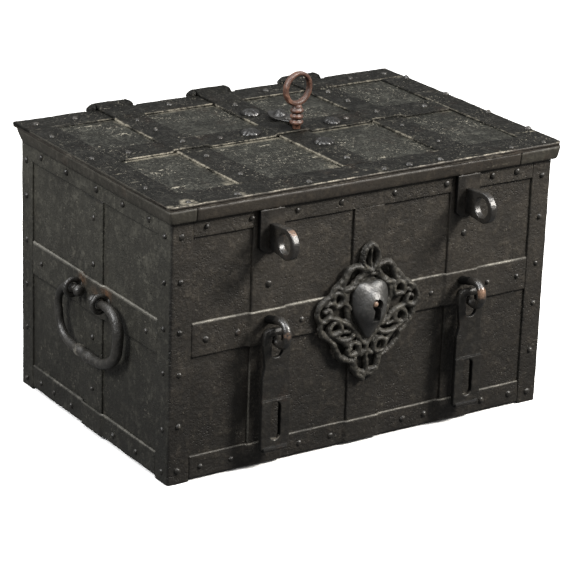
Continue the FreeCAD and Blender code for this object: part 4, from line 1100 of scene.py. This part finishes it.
# -------------------------------------------------------------- front fittings
forge("left_hasp", M_FIT, 0.8, 5, ((0.35, 22, 61), (0.14, 6, 62)), gain=1.4)
forge("right_hasp", M_FIT, 0.8, 5, ((0.35, 22, 63), (0.14, 6, 64)), gain=1.4)
for nm in ("left_hasp", "right_hasp"):
    o = bpy.data.objects[nm + "_forged"]
    # painted shade: left-facing sides and upward ledges below the eye take the near-black shade iron, except the slot's
    # lower lip
    shade(o, M_DARK, lambda c, n: ((n[:, 0] < -0.55) & (c[:, 2] < 150.0)) | ((n[:, 2] > 0.35) & (c[:, 2] < 130.0) & (np.abs(c[:, 2] - 41.0) > 6.0)))
    q, no = get_co(o.data) * 1000, get_no(o.data)
    x = q[:, 0] - HASP_X[nm == "right_hasp"]
    z = q[:, 2]
    # painted highlight on the lower lip of the slot
    lip_highlight = (np.abs(x) < 6.8) & (z < 46.5) & (z > 35) & (no[:, 2] > 0.25)
    wa = np.empty(len(q), np.float32)
    o.data.attributes["wear_and_highlight"].data.foreach_get("value", wa)
    ledge_shade = (no[:, 2] > 0.4) & (z < 140) & ~lip_highlight
    set_float(o.data, "wear_and_highlight", np.where(lip_highlight, 1.2, np.where(z < 140, 0.35 * wa, np.minimum(2.2 * wa, 1.0))))
    # painted shade: a dark outline round the slot and over the ledges
    d = np.hypot(x, z - np.clip(z, HASP_Z - 119, HASP_Z - 87)) - 6.0
    set_float(o.data, "painted_shade", np.maximum(0.85 * np.exp(-(d / 1.0) ** 2) * ~lip_highlight, 0.85 * ledge_shade))
pt = forge("padlock_tongues", M_RIM, 0.8, 5, ((0.3, 18, 65), (0.14, 6, 66)), gain=0.8)
# painted shade: darker under the rim and down the left of each tongue; its left-facing faces take the shade iron
q = get_co(pt.data) * 1000
dx = q[:, 0] - np.where(q[:, 0] > 0, HASP_X[1], HASP_X[0])
set_float(pt.data, "painted_shade", np.maximum(0.6 * ease((q[:, 2] - 284.0) / 10.0), 0.85 * ease((1.0 - dx) / 9.0)))
shade(pt, M_DARK, lambda c, n: n[:, 0] < -0.5)
pl = forge("padlock_loops", M_COPPERY, 0.6, 4, ((0.3, 10, 67), (0.14, 4, 68)))
# Rubbed copper with a painted highlight on the outer upper rim and inside the hole, less on the right loop; painted
# shade at each loop's root.
q = get_co(pl.data) * 1000
rho = np.hypot(q[:, 1] + 202.0, q[:, 2] - 267.0)
ang = np.degrees(np.arctan2(q[:, 2] - 267.0, -(q[:, 1] + 202.0)))
rub = 0.46 * np.exp(-((rho - 11.4) / 1.2) ** 2) * ease((q[:, 1] + 203.0) / 8.0)
rub = np.maximum(rub, 0.85 * ease((rho - 15.6) / 1.5) * np.exp(-((ang - 45.0) / 42.0) ** 2))
set_float(pl.data, "wear_and_highlight", rub * np.where(q[:, 0] > 0, 0.6, 1.0))
set_float(pl.data, "painted_shade", 0.9 * ease((q[:, 1] + 190.5) / 9.0))

st = []
for c in HASP_X:
    yc, R, y0, z0 = -195.2, 13.3, -IY, 5.4
    D = math.hypot(y0 - yc, z0)
    g = math.asin(R / D) - math.atan2(z0, y0 - yc)
    L = math.sqrt(D * D - R * R)
    leg = [(y0 - q * math.cos(g), z0 + q * math.sin(g)) for q in np.linspace(8.0, L, 8)]
    a0 = math.atan2(leg[-1][1], yc - leg[-1][0])
    arc = [(yc - R * math.cos(t), R * math.sin(t)) for t in np.linspace(a0, -a0, 25)[1:-1]]
    pth = [(c, y, HASP_Z + z) for y, z in leg + arc] + [(c, y, HASP_Z - z) for y, z in leg[::-1]]
    pp = smooth_path(pth, 84)
    sl = np.linspace(0, 1, 84)
    # a band of rubbed copper with a painted highlight round the outer bend of each staple
    w = 0.9 * np.exp(-((sl - 0.46) / 0.07) ** 2)
    st.append(tube(pp, 4.7 + 0.12 * np.sin(np.arange(84) * 0.6), 24, up=(1, 0, 0), wear_and_highlight=w))
so = build("hasp_staples_bent", st)
roughen(so, (0.22, 7, 71), (0.1, 3, 72))
finish_piece(so, M_COPPERY, "hasp_staples")
# painted shade at the root of each staple; its faces there take the shade iron
set_float(so.data, "painted_shade", 0.9 * ease((get_co(so.data)[:, 1] * 1000 + 194.0) / 7.0))
shade(so, M_DARK, lambda c, n: c[:, 1] > -186.5)


# ------------------------------------------------------------------ escutcheon
SCROLLS = [
    # (points x, z from the middle; half width; relief) - the right half, mirrored
    ([(0, 75), (5.2, 71), (9.2, 64.5), (10, 57), (6.8, 49.5), (1.5, 44.5)], 3.3, 4.4),              # finial
    ([(0, 74), (0, 62), (0, 50), (0, 40)], 1.6, 3.0),
    ([(7, 45), (12, 49), (19.5, 50.5), (26.5, 48), (31, 42), (34, 35), (36, 28)], 4.0, 3.8),     # shoulder
    ([(8, 46), (10.5, 41), (14.5, 35.5), (20, 29), (26, 25)], 3.8, 3.2),
    ([(21, 29), (28, 26), (36, 27), (41, 31)], 3.4, 3.6),
    ([(33, 41), (40, 34), (47, 27), (53, 20), (58, 14)], 3.4, 3.0),                          # outer rail
    ([(47.5, 17), (45.3, 22.3), (40, 24.5), (34.7, 22.3), (32.5, 17), (34.7, 11.7), (40, 9.5), (45.3, 11.7), (47.5, 17), (45.3, 22.3)], 3.3, 3.6),
    ([(34, 13), (29, 8), (24, 5)], 3.0, 2.8),
    ([(52, 21), (60, 16), (66, 8), (66.5, 0), (61, -6), (54.5, -5), (51, 1), (54, 7), (59, 5)], 3.4, 3.4),   # side scroll
    ([(46, 12), (52, 14), (57, 11)], 2.8, 3.0),
    ([(51, -16), (48.6, -10.4), (43, -8), (37.4, -10.4), (35, -16), (37.4, -21.6), (43, -24), (48.6, -21.6), (51, -16), (48.6, -10.4)], 3.4, 3.6),
    ([(62, -6), (61, -15), (56, -23), (49, -30), (44, -35)], 3.6, 3.0),
    ([(20, -22), (27, -15), (35, -9), (46, -4), (52, -3)], 3.2, 3.4),                        # leaves beside the boss
    ([(18, -30), (25, -33), (34, -32), (43, -27), (50, -22)], 3.3, 3.6),
    ([(24, -24), (31, -22), (38, -20)], 2.6, 2.6),
    ([(45, -34), (41, -43), (34, -51), (25, -57), (18, -60)], 3.5, 3.0),
    ([(24.5, -46), (22.3, -40.7), (17, -38.5), (11.7, -40.7), (9.5, -46), (11.7, -51.3), (17, -53.5), (22.3, -51.3), (24.5, -46), (22.3, -40.7)], 3.2, 3.6),
    ([(24, -44), (30, -38), (36, -33)], 3.0, 2.8),
    ([(16, -55), (17, -62), (15, -70), (10, -77), (4.5, -81)], 4.2, 3.6),                    # foot
    ([(0, -42), (0, -54), (0, -66), (0, -76)], 2.5, 2.6),
    ([(8, -54), (4, -52), (0, -50)], 3.0, 2.8),
    ([(9, -73), (5, -75), (2, -79)], 3.4, 3.2),
    ([(0, 40), (10, 39), (20, 34), (26.5, 25), (28.5, 13), (27, 0), (22, -14), (14, -28), (6, -38), (0, -43)], 3.6, 2.2),   # bed of the boss
]


def scrollwork(step=0.75):
    """Pierced and chased plate: relief as a field over the plate, then closed."""
    xs = np.arange(-75, 75.01, step)
    zs = np.arange(-88, 86.01, step)
    X, Z = np.meshgrid(xs, zs, indexing="ij")
    h = np.full(X.shape, -1.0)
    for i, (pts, w, rise) in enumerate(SCROLLS):
        for sgn in (1, -1):
            jig = np.random.default_rng(500 + 2 * i + (sgn > 0)).normal(0, 0.75 if i > 1 else 0.15, (len(pts), 2))
            q = smooth_path([(sgn * x + a, z + b) for (x, z), (a, b) in zip(pts, jig)], max(10, int(sum(math.dist(a, b) for a, b in zip(pts, pts[1:])) / 1.0)))
            t = np.linspace(0, 1, len(q))
            ww = 0.98 * w * (0.82 + 0.18 * np.sin(math.pi * t) + 0.10 * np.sin(9 * t + i + sgn) + 0.05 * np.sin(23 * t + 2 * i))
            best = np.full(X.shape, 1e9)
            for (qx, qz), wk in zip(q, ww):
                best = np.minimum(best, ((X - qx) ** 2 + (Z - qz) ** 2) / (wk * wk))
            d = np.sqrt(best)
            hh = np.where(d < 1, 1.7 + 1.25 * (rise + 0.35 * math.sin(i * 2.3 + sgn)) * np.sqrt(np.maximum(1 - d * d, 0)), -1.0)
            hh = np.where((d >= 1) & (d * w < w + 0.8), 1.7, hh)
            h = np.maximum(h, hh)
    bed = (np.abs(X) / 24) ** 2.2 + (np.abs(Z + 2) / 38) ** 2.2 < 1
    h = np.where(bed, np.maximum(h, 1.7), h)
    inside = h > 0
    idx = -np.ones(X.shape, int)
    idx[inside] = np.arange(inside.sum())
    n = int(inside.sum())
    fr = np.column_stack([X[inside], EY - h[inside], EC + Z[inside]])
    bk = np.column_stack([X[inside], np.full(n, EY), EC + Z[inside]])
    c = inside[:-1, :-1] & inside[1:, :-1] & inside[:-1, 1:] & inside[1:, 1:]
    a, b_, cc, dd = (idx[:-1, :-1][c], idx[1:, :-1][c], idx[1:, 1:][c], idx[:-1, 1:][c])
    f = np.stack([a, b_, cc, dd], 1)
    e = np.concatenate([np.stack([f[:, k], f[:, (k + 1) % 4]], 1) for k in range(4)])
    key = np.sort(e, 1)
    _, inv, cnt = np.unique(key, axis=0, return_inverse=True, return_counts=True)
    rim = e[cnt[inv.ravel()] == 1]
    faces = f.tolist() + (f[:, ::-1] + n).tolist() + np.stack([rim[:, 1], rim[:, 0], rim[:, 0] + n, rim[:, 1] + n], 1).tolist()
    return np.concatenate([fr, bk]), faces, np.zeros(2 * n)


tmp = build("scroll_tmp", [scrollwork()])
me = tmp.data.copy()
bpy.data.objects.remove(tmp)
esc = solid_skin("escutcheon_scrollwork", me, 0.7, 4, ((0.6, 9, 81), (0.4, 4.2, 82), (0.15, 2.2, 86)), gain=4.4)
finish_piece(esc, M_SCROLL, "escutcheon_plate")


def boss():
    """Domed shield over the false keyhole."""
    th = np.linspace(0, 2 * math.pi, 96, endpoint=False)
    pts = np.array([(0, 28), (10, 29.5), (19, 25.5), (23, 16), (22.5, 4), (18, -10), (10, -24), (0, -36),
                    (-10, -24), (-18, -10), (-22.5, 4), (-23, 16), (-19, 25.5), (-10, 29.5), (0, 28)], float)
    out = smooth_path(pts, 97)[:-1]
    rings, tags = [], []
    for sc, h in ((1.0, -1.5), (1.02, 0.5), (1.02, 2.0), (0.99, 4.5), (0.94, 7.5), (0.86, 10.8), (0.75, 13.9), (0.61, 16.4),
                  (0.46, 18.0), (0.30, 18.8), (0.14, 19.1), (0.04, 19.15)):
        crown = np.column_stack([20.0 * np.cos(th + math.pi / 2) * -1, 1.0 + 24.0 * np.sin(th + math.pi / 2)])
        k = float(ease(np.array((1.02 - sc) / 0.14)))
        base = out * (1 - k) + crown * k
        x, z = base[:, 0] * sc, base[:, 1] * sc + (1 - sc) * 3.0
        rings.append(np.column_stack([x, np.full(96, EY - 2.8 - h), EC + 2 + z]))
        tags.append(np.full(96, 0.5 if 0 < h < 3 else 0.0))
    return loft(np.array(rings), np.array(tags))


bo = build("escutcheon_boss_dome", [boss()])
roughen(bo, (0.35, 16, 83), (0.12, 5, 84))
kz, kr, kw = EC + 9, 6.9, 4.1
a0 = math.asin(kw / kr)
hp = [(kw * 1.2, kz - 20.0)]
for t in np.linspace(-math.pi / 2 + a0, 1.5 * math.pi - a0, 26):
    hp.append((kr * math.cos(t), kz + kr * math.sin(t)))
hp.append((-kw * 1.2, kz - 20.0))
hp = np.array(hp)
cutter = build("boss_cutter", [loft(np.array([np.column_stack([hp[:, 0], np.full(len(hp), y), hp[:, 1]]) for y in (EY - 40, EY - 3.2)]))])
cut(bo, cutter)
sharpen(bo, 45)
finish_piece(bo, M_BOSS, "escutcheon_boss")
# painted highlight on the upper dome, painted shade over the lower left
q = get_co(bo.data) * 1000
zz = q[:, 2] - EC
set_float(bo.data, "wear_and_highlight", 0.62 * np.exp(-((q[:, 0] - 5.0) / 9.0) ** 2 - ((zz - 20.0) / 6.0) ** 2))
set_float(bo.data, "painted_shade", 0.55 * ease((-2.0 - zz - 0.35 * q[:, 0]) / 18.0))
pin = build("false_keyhole_pin_turned", [lathe([(3.9, 0), (3.9, 8), (3.9, 11.6), (3.8, 13.0), (3.4, 14.1), (2.5, 14.9), (1.2, 15.3), (0.2, 15.4)],
                                               (0, EY - 2.9, EC + 9), (0, -1, 0), 28)])
roughen(pin, (0.15, 3, 85))
finish_piece(pin, M_COPPER, "false_keyhole_pin")

# --------------------------------------------------------------------- handles
forge("handle_eyes", M_BAIL, 0.6, 5, ((0.25, 7, 91), (0.1, 3, 92)))
for nm, s in (("left_handle", -1), ("right_handle", 1)):
    h0 = HANDLE_Y
    pts = [(h0 - 14, 167), (h0 - 22, 167.2), (h0 - 30.5, 167), (h0 - 41, 168.2), (h0 - 51, 168), (h0 - 61, 164), (h0 - 68.5, 156),
           (h0 - 71.8, 146), (h0 - 71, 134), (h0 - 68, 121), (h0 - 61, 111.5), (h0 - 49, 103.5), (h0 - 35, 98.8), (h0 - 19, 97),
           (h0 - 3, 97), (h0 + 13, 98), (h0 + 29, 98.5), (h0 + 45, 102), (h0 + 56, 111), (h0 + 61.5, 124), (h0 + 63.5, 139),
           (h0 + 59.5, 151), (h0 + 50, 161), (h0 + 40, 166.2), (h0 + 30.5, 167), (h0 + 22, 167.2), (h0 + 14, 167)]
    q = smooth_path(pts, 210)
    sl = np.linspace(0, 1, 210)
    r = np.interp(sl, (0, 0.1, 0.2, 0.35, 0.5, 0.65, 0.8, 1.0), (4.6, 5.6, 6.3, 6.2, 5.7, 5.2, 4.5, 4.5))
    ye = np.minimum(np.abs(q[:, 0] - (h0 - EYE_DY)), np.abs(q[:, 0] - (h0 + EYE_DY)))
    near = (q[:, 1] > 150)
    r = np.where(near, np.minimum(r, 4.6 + 0.06 * np.maximum(ye - 5, 0)), r)
    endk = np.minimum(np.abs(q[:, 0] - (h0 - 17)), np.abs(q[:, 0] - (h0 + 17)))
    r = np.where(near & (endk < 5), 6.6 * np.sqrt(np.clip(1 - (endk / 5.6) ** 2, 0.15, 1)), r)
    low = q[:, 1] < 108
    kn = np.exp(-((q[:, 0] - h0 - 12.7) / 6.0) ** 2) + np.exp(-((q[:, 0] - h0 + 8.3) / 6.0) ** 2)
    r = r + 1.7 * kn * low
    wear_and_highlight = np.clip(0.55 * kn * low + 0.35 * low, 0, 1)
    p3 = np.column_stack([np.full(210, s * EYE_X), q[:, 0], q[:, 1]])
    o = build(nm + "_bail", [tube(p3, r, 24, up=(1, 0, 0), wear_and_highlight=wear_and_highlight)])
    roughen(o, (0.4, 13, 93), (0.16, 5, 94))
    finish_piece(o, M_BAIL, nm)

# ------------------------------------------------------------------- key, cover
prof = [(2.4, 297.6), (4.0, 297.6), (4.35, 298.2), (4.35, 310), (4.35, 320), (4.4, 322.4), (5.5, 323.4), (5.6, 324.3), (6.6, 324.8),
        (7.5, 325.6), (7.8, 327.0), (7.5, 328.2), (6.4, 329.0), (5.6, 329.6), (5.5, 330.8), (6.4, 331.5), (7.2, 332.3), (7.4, 333.6),
        (7.1, 334.9), (6.2, 335.7), (5.4, 336.5), (5.4, 337.7), (6.3, 338.4), (7.3, 339.2), (7.6, 340.7), (7.3, 342.0), (6.2, 342.9),
        (5.6, 343.6), (5.5, 345.0), (5.0, 346.4), (4.0, 347.6)]
shank = lathe(prof, (KX, KY, 0), (0, 0, 1), 48, tags=[0.7 if r > 7 else 0.0 for r, z in prof])
BZ, seg = 366.0, 72
TW = math.cos(math.radians(8)), math.sin(math.radians(8))       # bow a little out of line with the bit
rings, tags = [], []
sec = []
for g in np.linspace(0, 2 * math.pi, 20, endpoint=False):
    c, s = math.cos(g), math.sin(g)
    sec.append((math.copysign(abs(c) ** 0.7, c) * 2.65, math.copysign(abs(s) ** 0.62, s) * 3.5))
sec = np.array(sec)
for a in np.linspace(0, 2 * math.pi, seg, endpoint=False):
    rr = 17.5 + 0.25 * math.sin(2 * a + 0.7)
    fat = 1 + 0.10 * math.cos(a + math.pi / 2)
    rad = rr + sec[:, 0] * fat
    bx, by = rad * math.cos(a), sec[:, 1]
    rings.append(np.column_stack([KX + bx * TW[0] - by * TW[1], KY + bx * TW[1] + by * TW[0], BZ + rad * math.sin(a)]))
rings = np.array(rings)
n, m = rings.shape[:2]
fc = []
for i in range(n):
    for j in range(m):
        fc.append([i * m + j, i * m + (j + 1) % m, ((i + 1) % n) * m + (j + 1) % m, ((i + 1) % n) * m + j])
bow = (rings.reshape(-1, 3), fc, np.tile(np.where(np.abs(sec[:, 0]) > 2.3, 0.2, 0.7), n))
bit = loft(np.array([[(KX + sx * w, KY + y, z) for sx, z in ((-1, 304.9), (1, 304.9), (1.15, 306.7), (1, 308.5), (-1, 308.5), (-1.15, 306.7))]
                     for y, w in ((3.6, 1.5), (10, 1.7), (16.4, 1.8), (16.9, 1.4))]))
ko = build("key_turned", [shank, bow, bit])
roughen(ko, (0.28, 6, 95), (0.12, 2.5, 96))
finish_piece(ko, M_KEY, "key")
# painted shade in the grooves between the collars
q = get_co(ko.data) * 1000
rad = np.hypot(q[:, 0] - KX, q[:, 1] - KY)
set_float(ko.data, "painted_shade", 0.75 * ease((6.5 - rad) / 1.0) * (q[:, 2] > 328.5) * (q[:, 2] < 344.0))

kc = forge("keyhole_cover", M_GLOSS, 0.55, 5, ((0.45, 9, 97), (0.2, 4, 98)), gain=0.9)
q = get_co(kc.data) * 1000
q[:, 2] += 1.6 * np.exp(-((q[:, 0] - 18.5) / 9.0) ** 2 - ((q[:, 1] - 44.0) / 15.0) ** 2) * (q[:, 2] > 321.0)
set_co(kc.data, q * 0.001)
forge("cover_pin", M_RIVET, 0.4, 4, ((0.15, 4, 99),))


# ----------------------------------------------- lock, pins and bars kept as made
def keep(node, mat, width=0.5):
    o = NODES[node]
    o.data.materials.clear()
    o.data.materials.append(mat)
    w = o.modifiers.new("weld", "WELD")
    w.merge_threshold = 1e-6
    b = o.modifiers.new("bevel", "BEVEL")
    b.width = width * 0.001
    b.segments = 2
    b.limit_method = "ANGLE"
    b.angle_limit = math.radians(35)
    b.harden_normals = True
    return o


for nm in ("lock_plate", "bolt_guides"):
    keep(nm, M_LOCK)
for nm in ("lock_star", "front_bolt", "back_bolt", "left_bolt", "right_bolt", "lock_bridge"):
    keep(nm, M_BOLT)
keep("rim_bars", M_SIDE, 0.6)
keep("hinge_pins", M_FIT, 0.4)

for o in list(bpy.data.objects):
    if o.type == "MESH" and o not in NODES.values():
        q = get_co(o.data)
        k = np.clip(q, np.array(CAD_LO) + 2e-5, np.array(CAD_HI) - 2e-5)
        if np.abs(k - q).max() > 0:
            set_co(o.data, k)

# ------------------------------------------------------------------------ stage
fm = bpy.data.meshes.new("floor")
fm.from_pydata([(-14, -14, 0), (14, -14, 0), (14, 14, 0), (-14, 14, 0)], [], [(0, 1, 2, 3)])
floor = link("floor", fm)
mat = bpy.data.materials.new("floor_white")
mat.use_nodes = True
b = mat.node_tree.nodes["Principled BSDF"]
b.inputs["Base Color"].default_value = (0.93, 0.93, 0.93, 1)
b.inputs["Roughness"].default_value = 0.9
b.inputs["Specular IOR Level"].default_value = 0.1
fm.materials.append(mat)

floor.visible_diffuse = False
floor.visible_glossy = False

w = bpy.data.worlds.new("studio")
bpy.context.scene.world = w
w.use_nodes = True
wt = w.node_tree
wc = wt.nodes.new("ShaderNodeTexCoord")
ws = wt.nodes.new("ShaderNodeSeparateXYZ")
wt.links.new(wc.outputs["Generated"], ws.inputs[0])
wt.links.new(ramp(wt, ws.outputs["Z"], -0.25, 0.8, 0.20, 0.55), wt.nodes["Background"].inputs[1])
wt.nodes["Background"].inputs[0].default_value = (1, 1, 1, 1)


def area(name, loc, target, sx, sy, power, col=(1, 1, 1)):
    d = bpy.data.lights.new(name, "AREA")
    d.shape = "RECTANGLE"
    d.size, d.size_y = sx, sy
    d.energy = power
    d.color = col
    o = bpy.data.objects.new(name, d)
    o.location = loc
    o.rotation_euler = (Vector(target) - Vector(loc)).to_track_quat("-Z", "Y").to_euler()
    bpy.context.scene.collection.objects.link(o)


area("overhead", (-0.6, 0.6, 2.3), (0, 0, 0.2), 1.4, 1.0, 24)
area("top_front", (0.2, -0.9, 2.1), (0, 0, 0.2), 1.2, 1.0, 38)
area("left_box", (-2.1, -0.1, 1.7), (0, 0, 0.2), 0.9, 0.9, 76)
area("right_box", (1.5, -1.8, 1.9), (0, 0, 0.2), 0.65, 0.65, 158, (1.0, 0.96, 0.90))

az, el, roll = math.radians(-33.73), math.radians(20.26), math.radians(2.01)
back = Vector((math.sin(az) * math.cos(el), -math.cos(az) * math.cos(el), math.sin(el)))
right = Vector((math.cos(az), math.sin(az), 0))
upv = back.cross(right)
r2 = math.cos(roll) * right + math.sin(roll) * upv
u2 = -math.sin(roll) * right + math.cos(roll) * upv
cd = bpy.data.cameras.new("camera")
cd.sensor_width = 36
cd.lens = 157.67
cd.clip_start, cd.clip_end = 0.05, 60
cam = bpy.data.objects.new("camera", cd)
cam.matrix_world = Matrix(((r2.x, u2.x, back.x, -1.49954), (r2.y, u2.y, back.y, -2.25232),
                           (r2.z, u2.z, back.z, 1.13113), (0, 0, 0, 1)))
bpy.context.scene.collection.objects.link(cam)
bpy.context.scene.camera = cam
bpy.context.scene.view_settings.view_transform = "Standard"
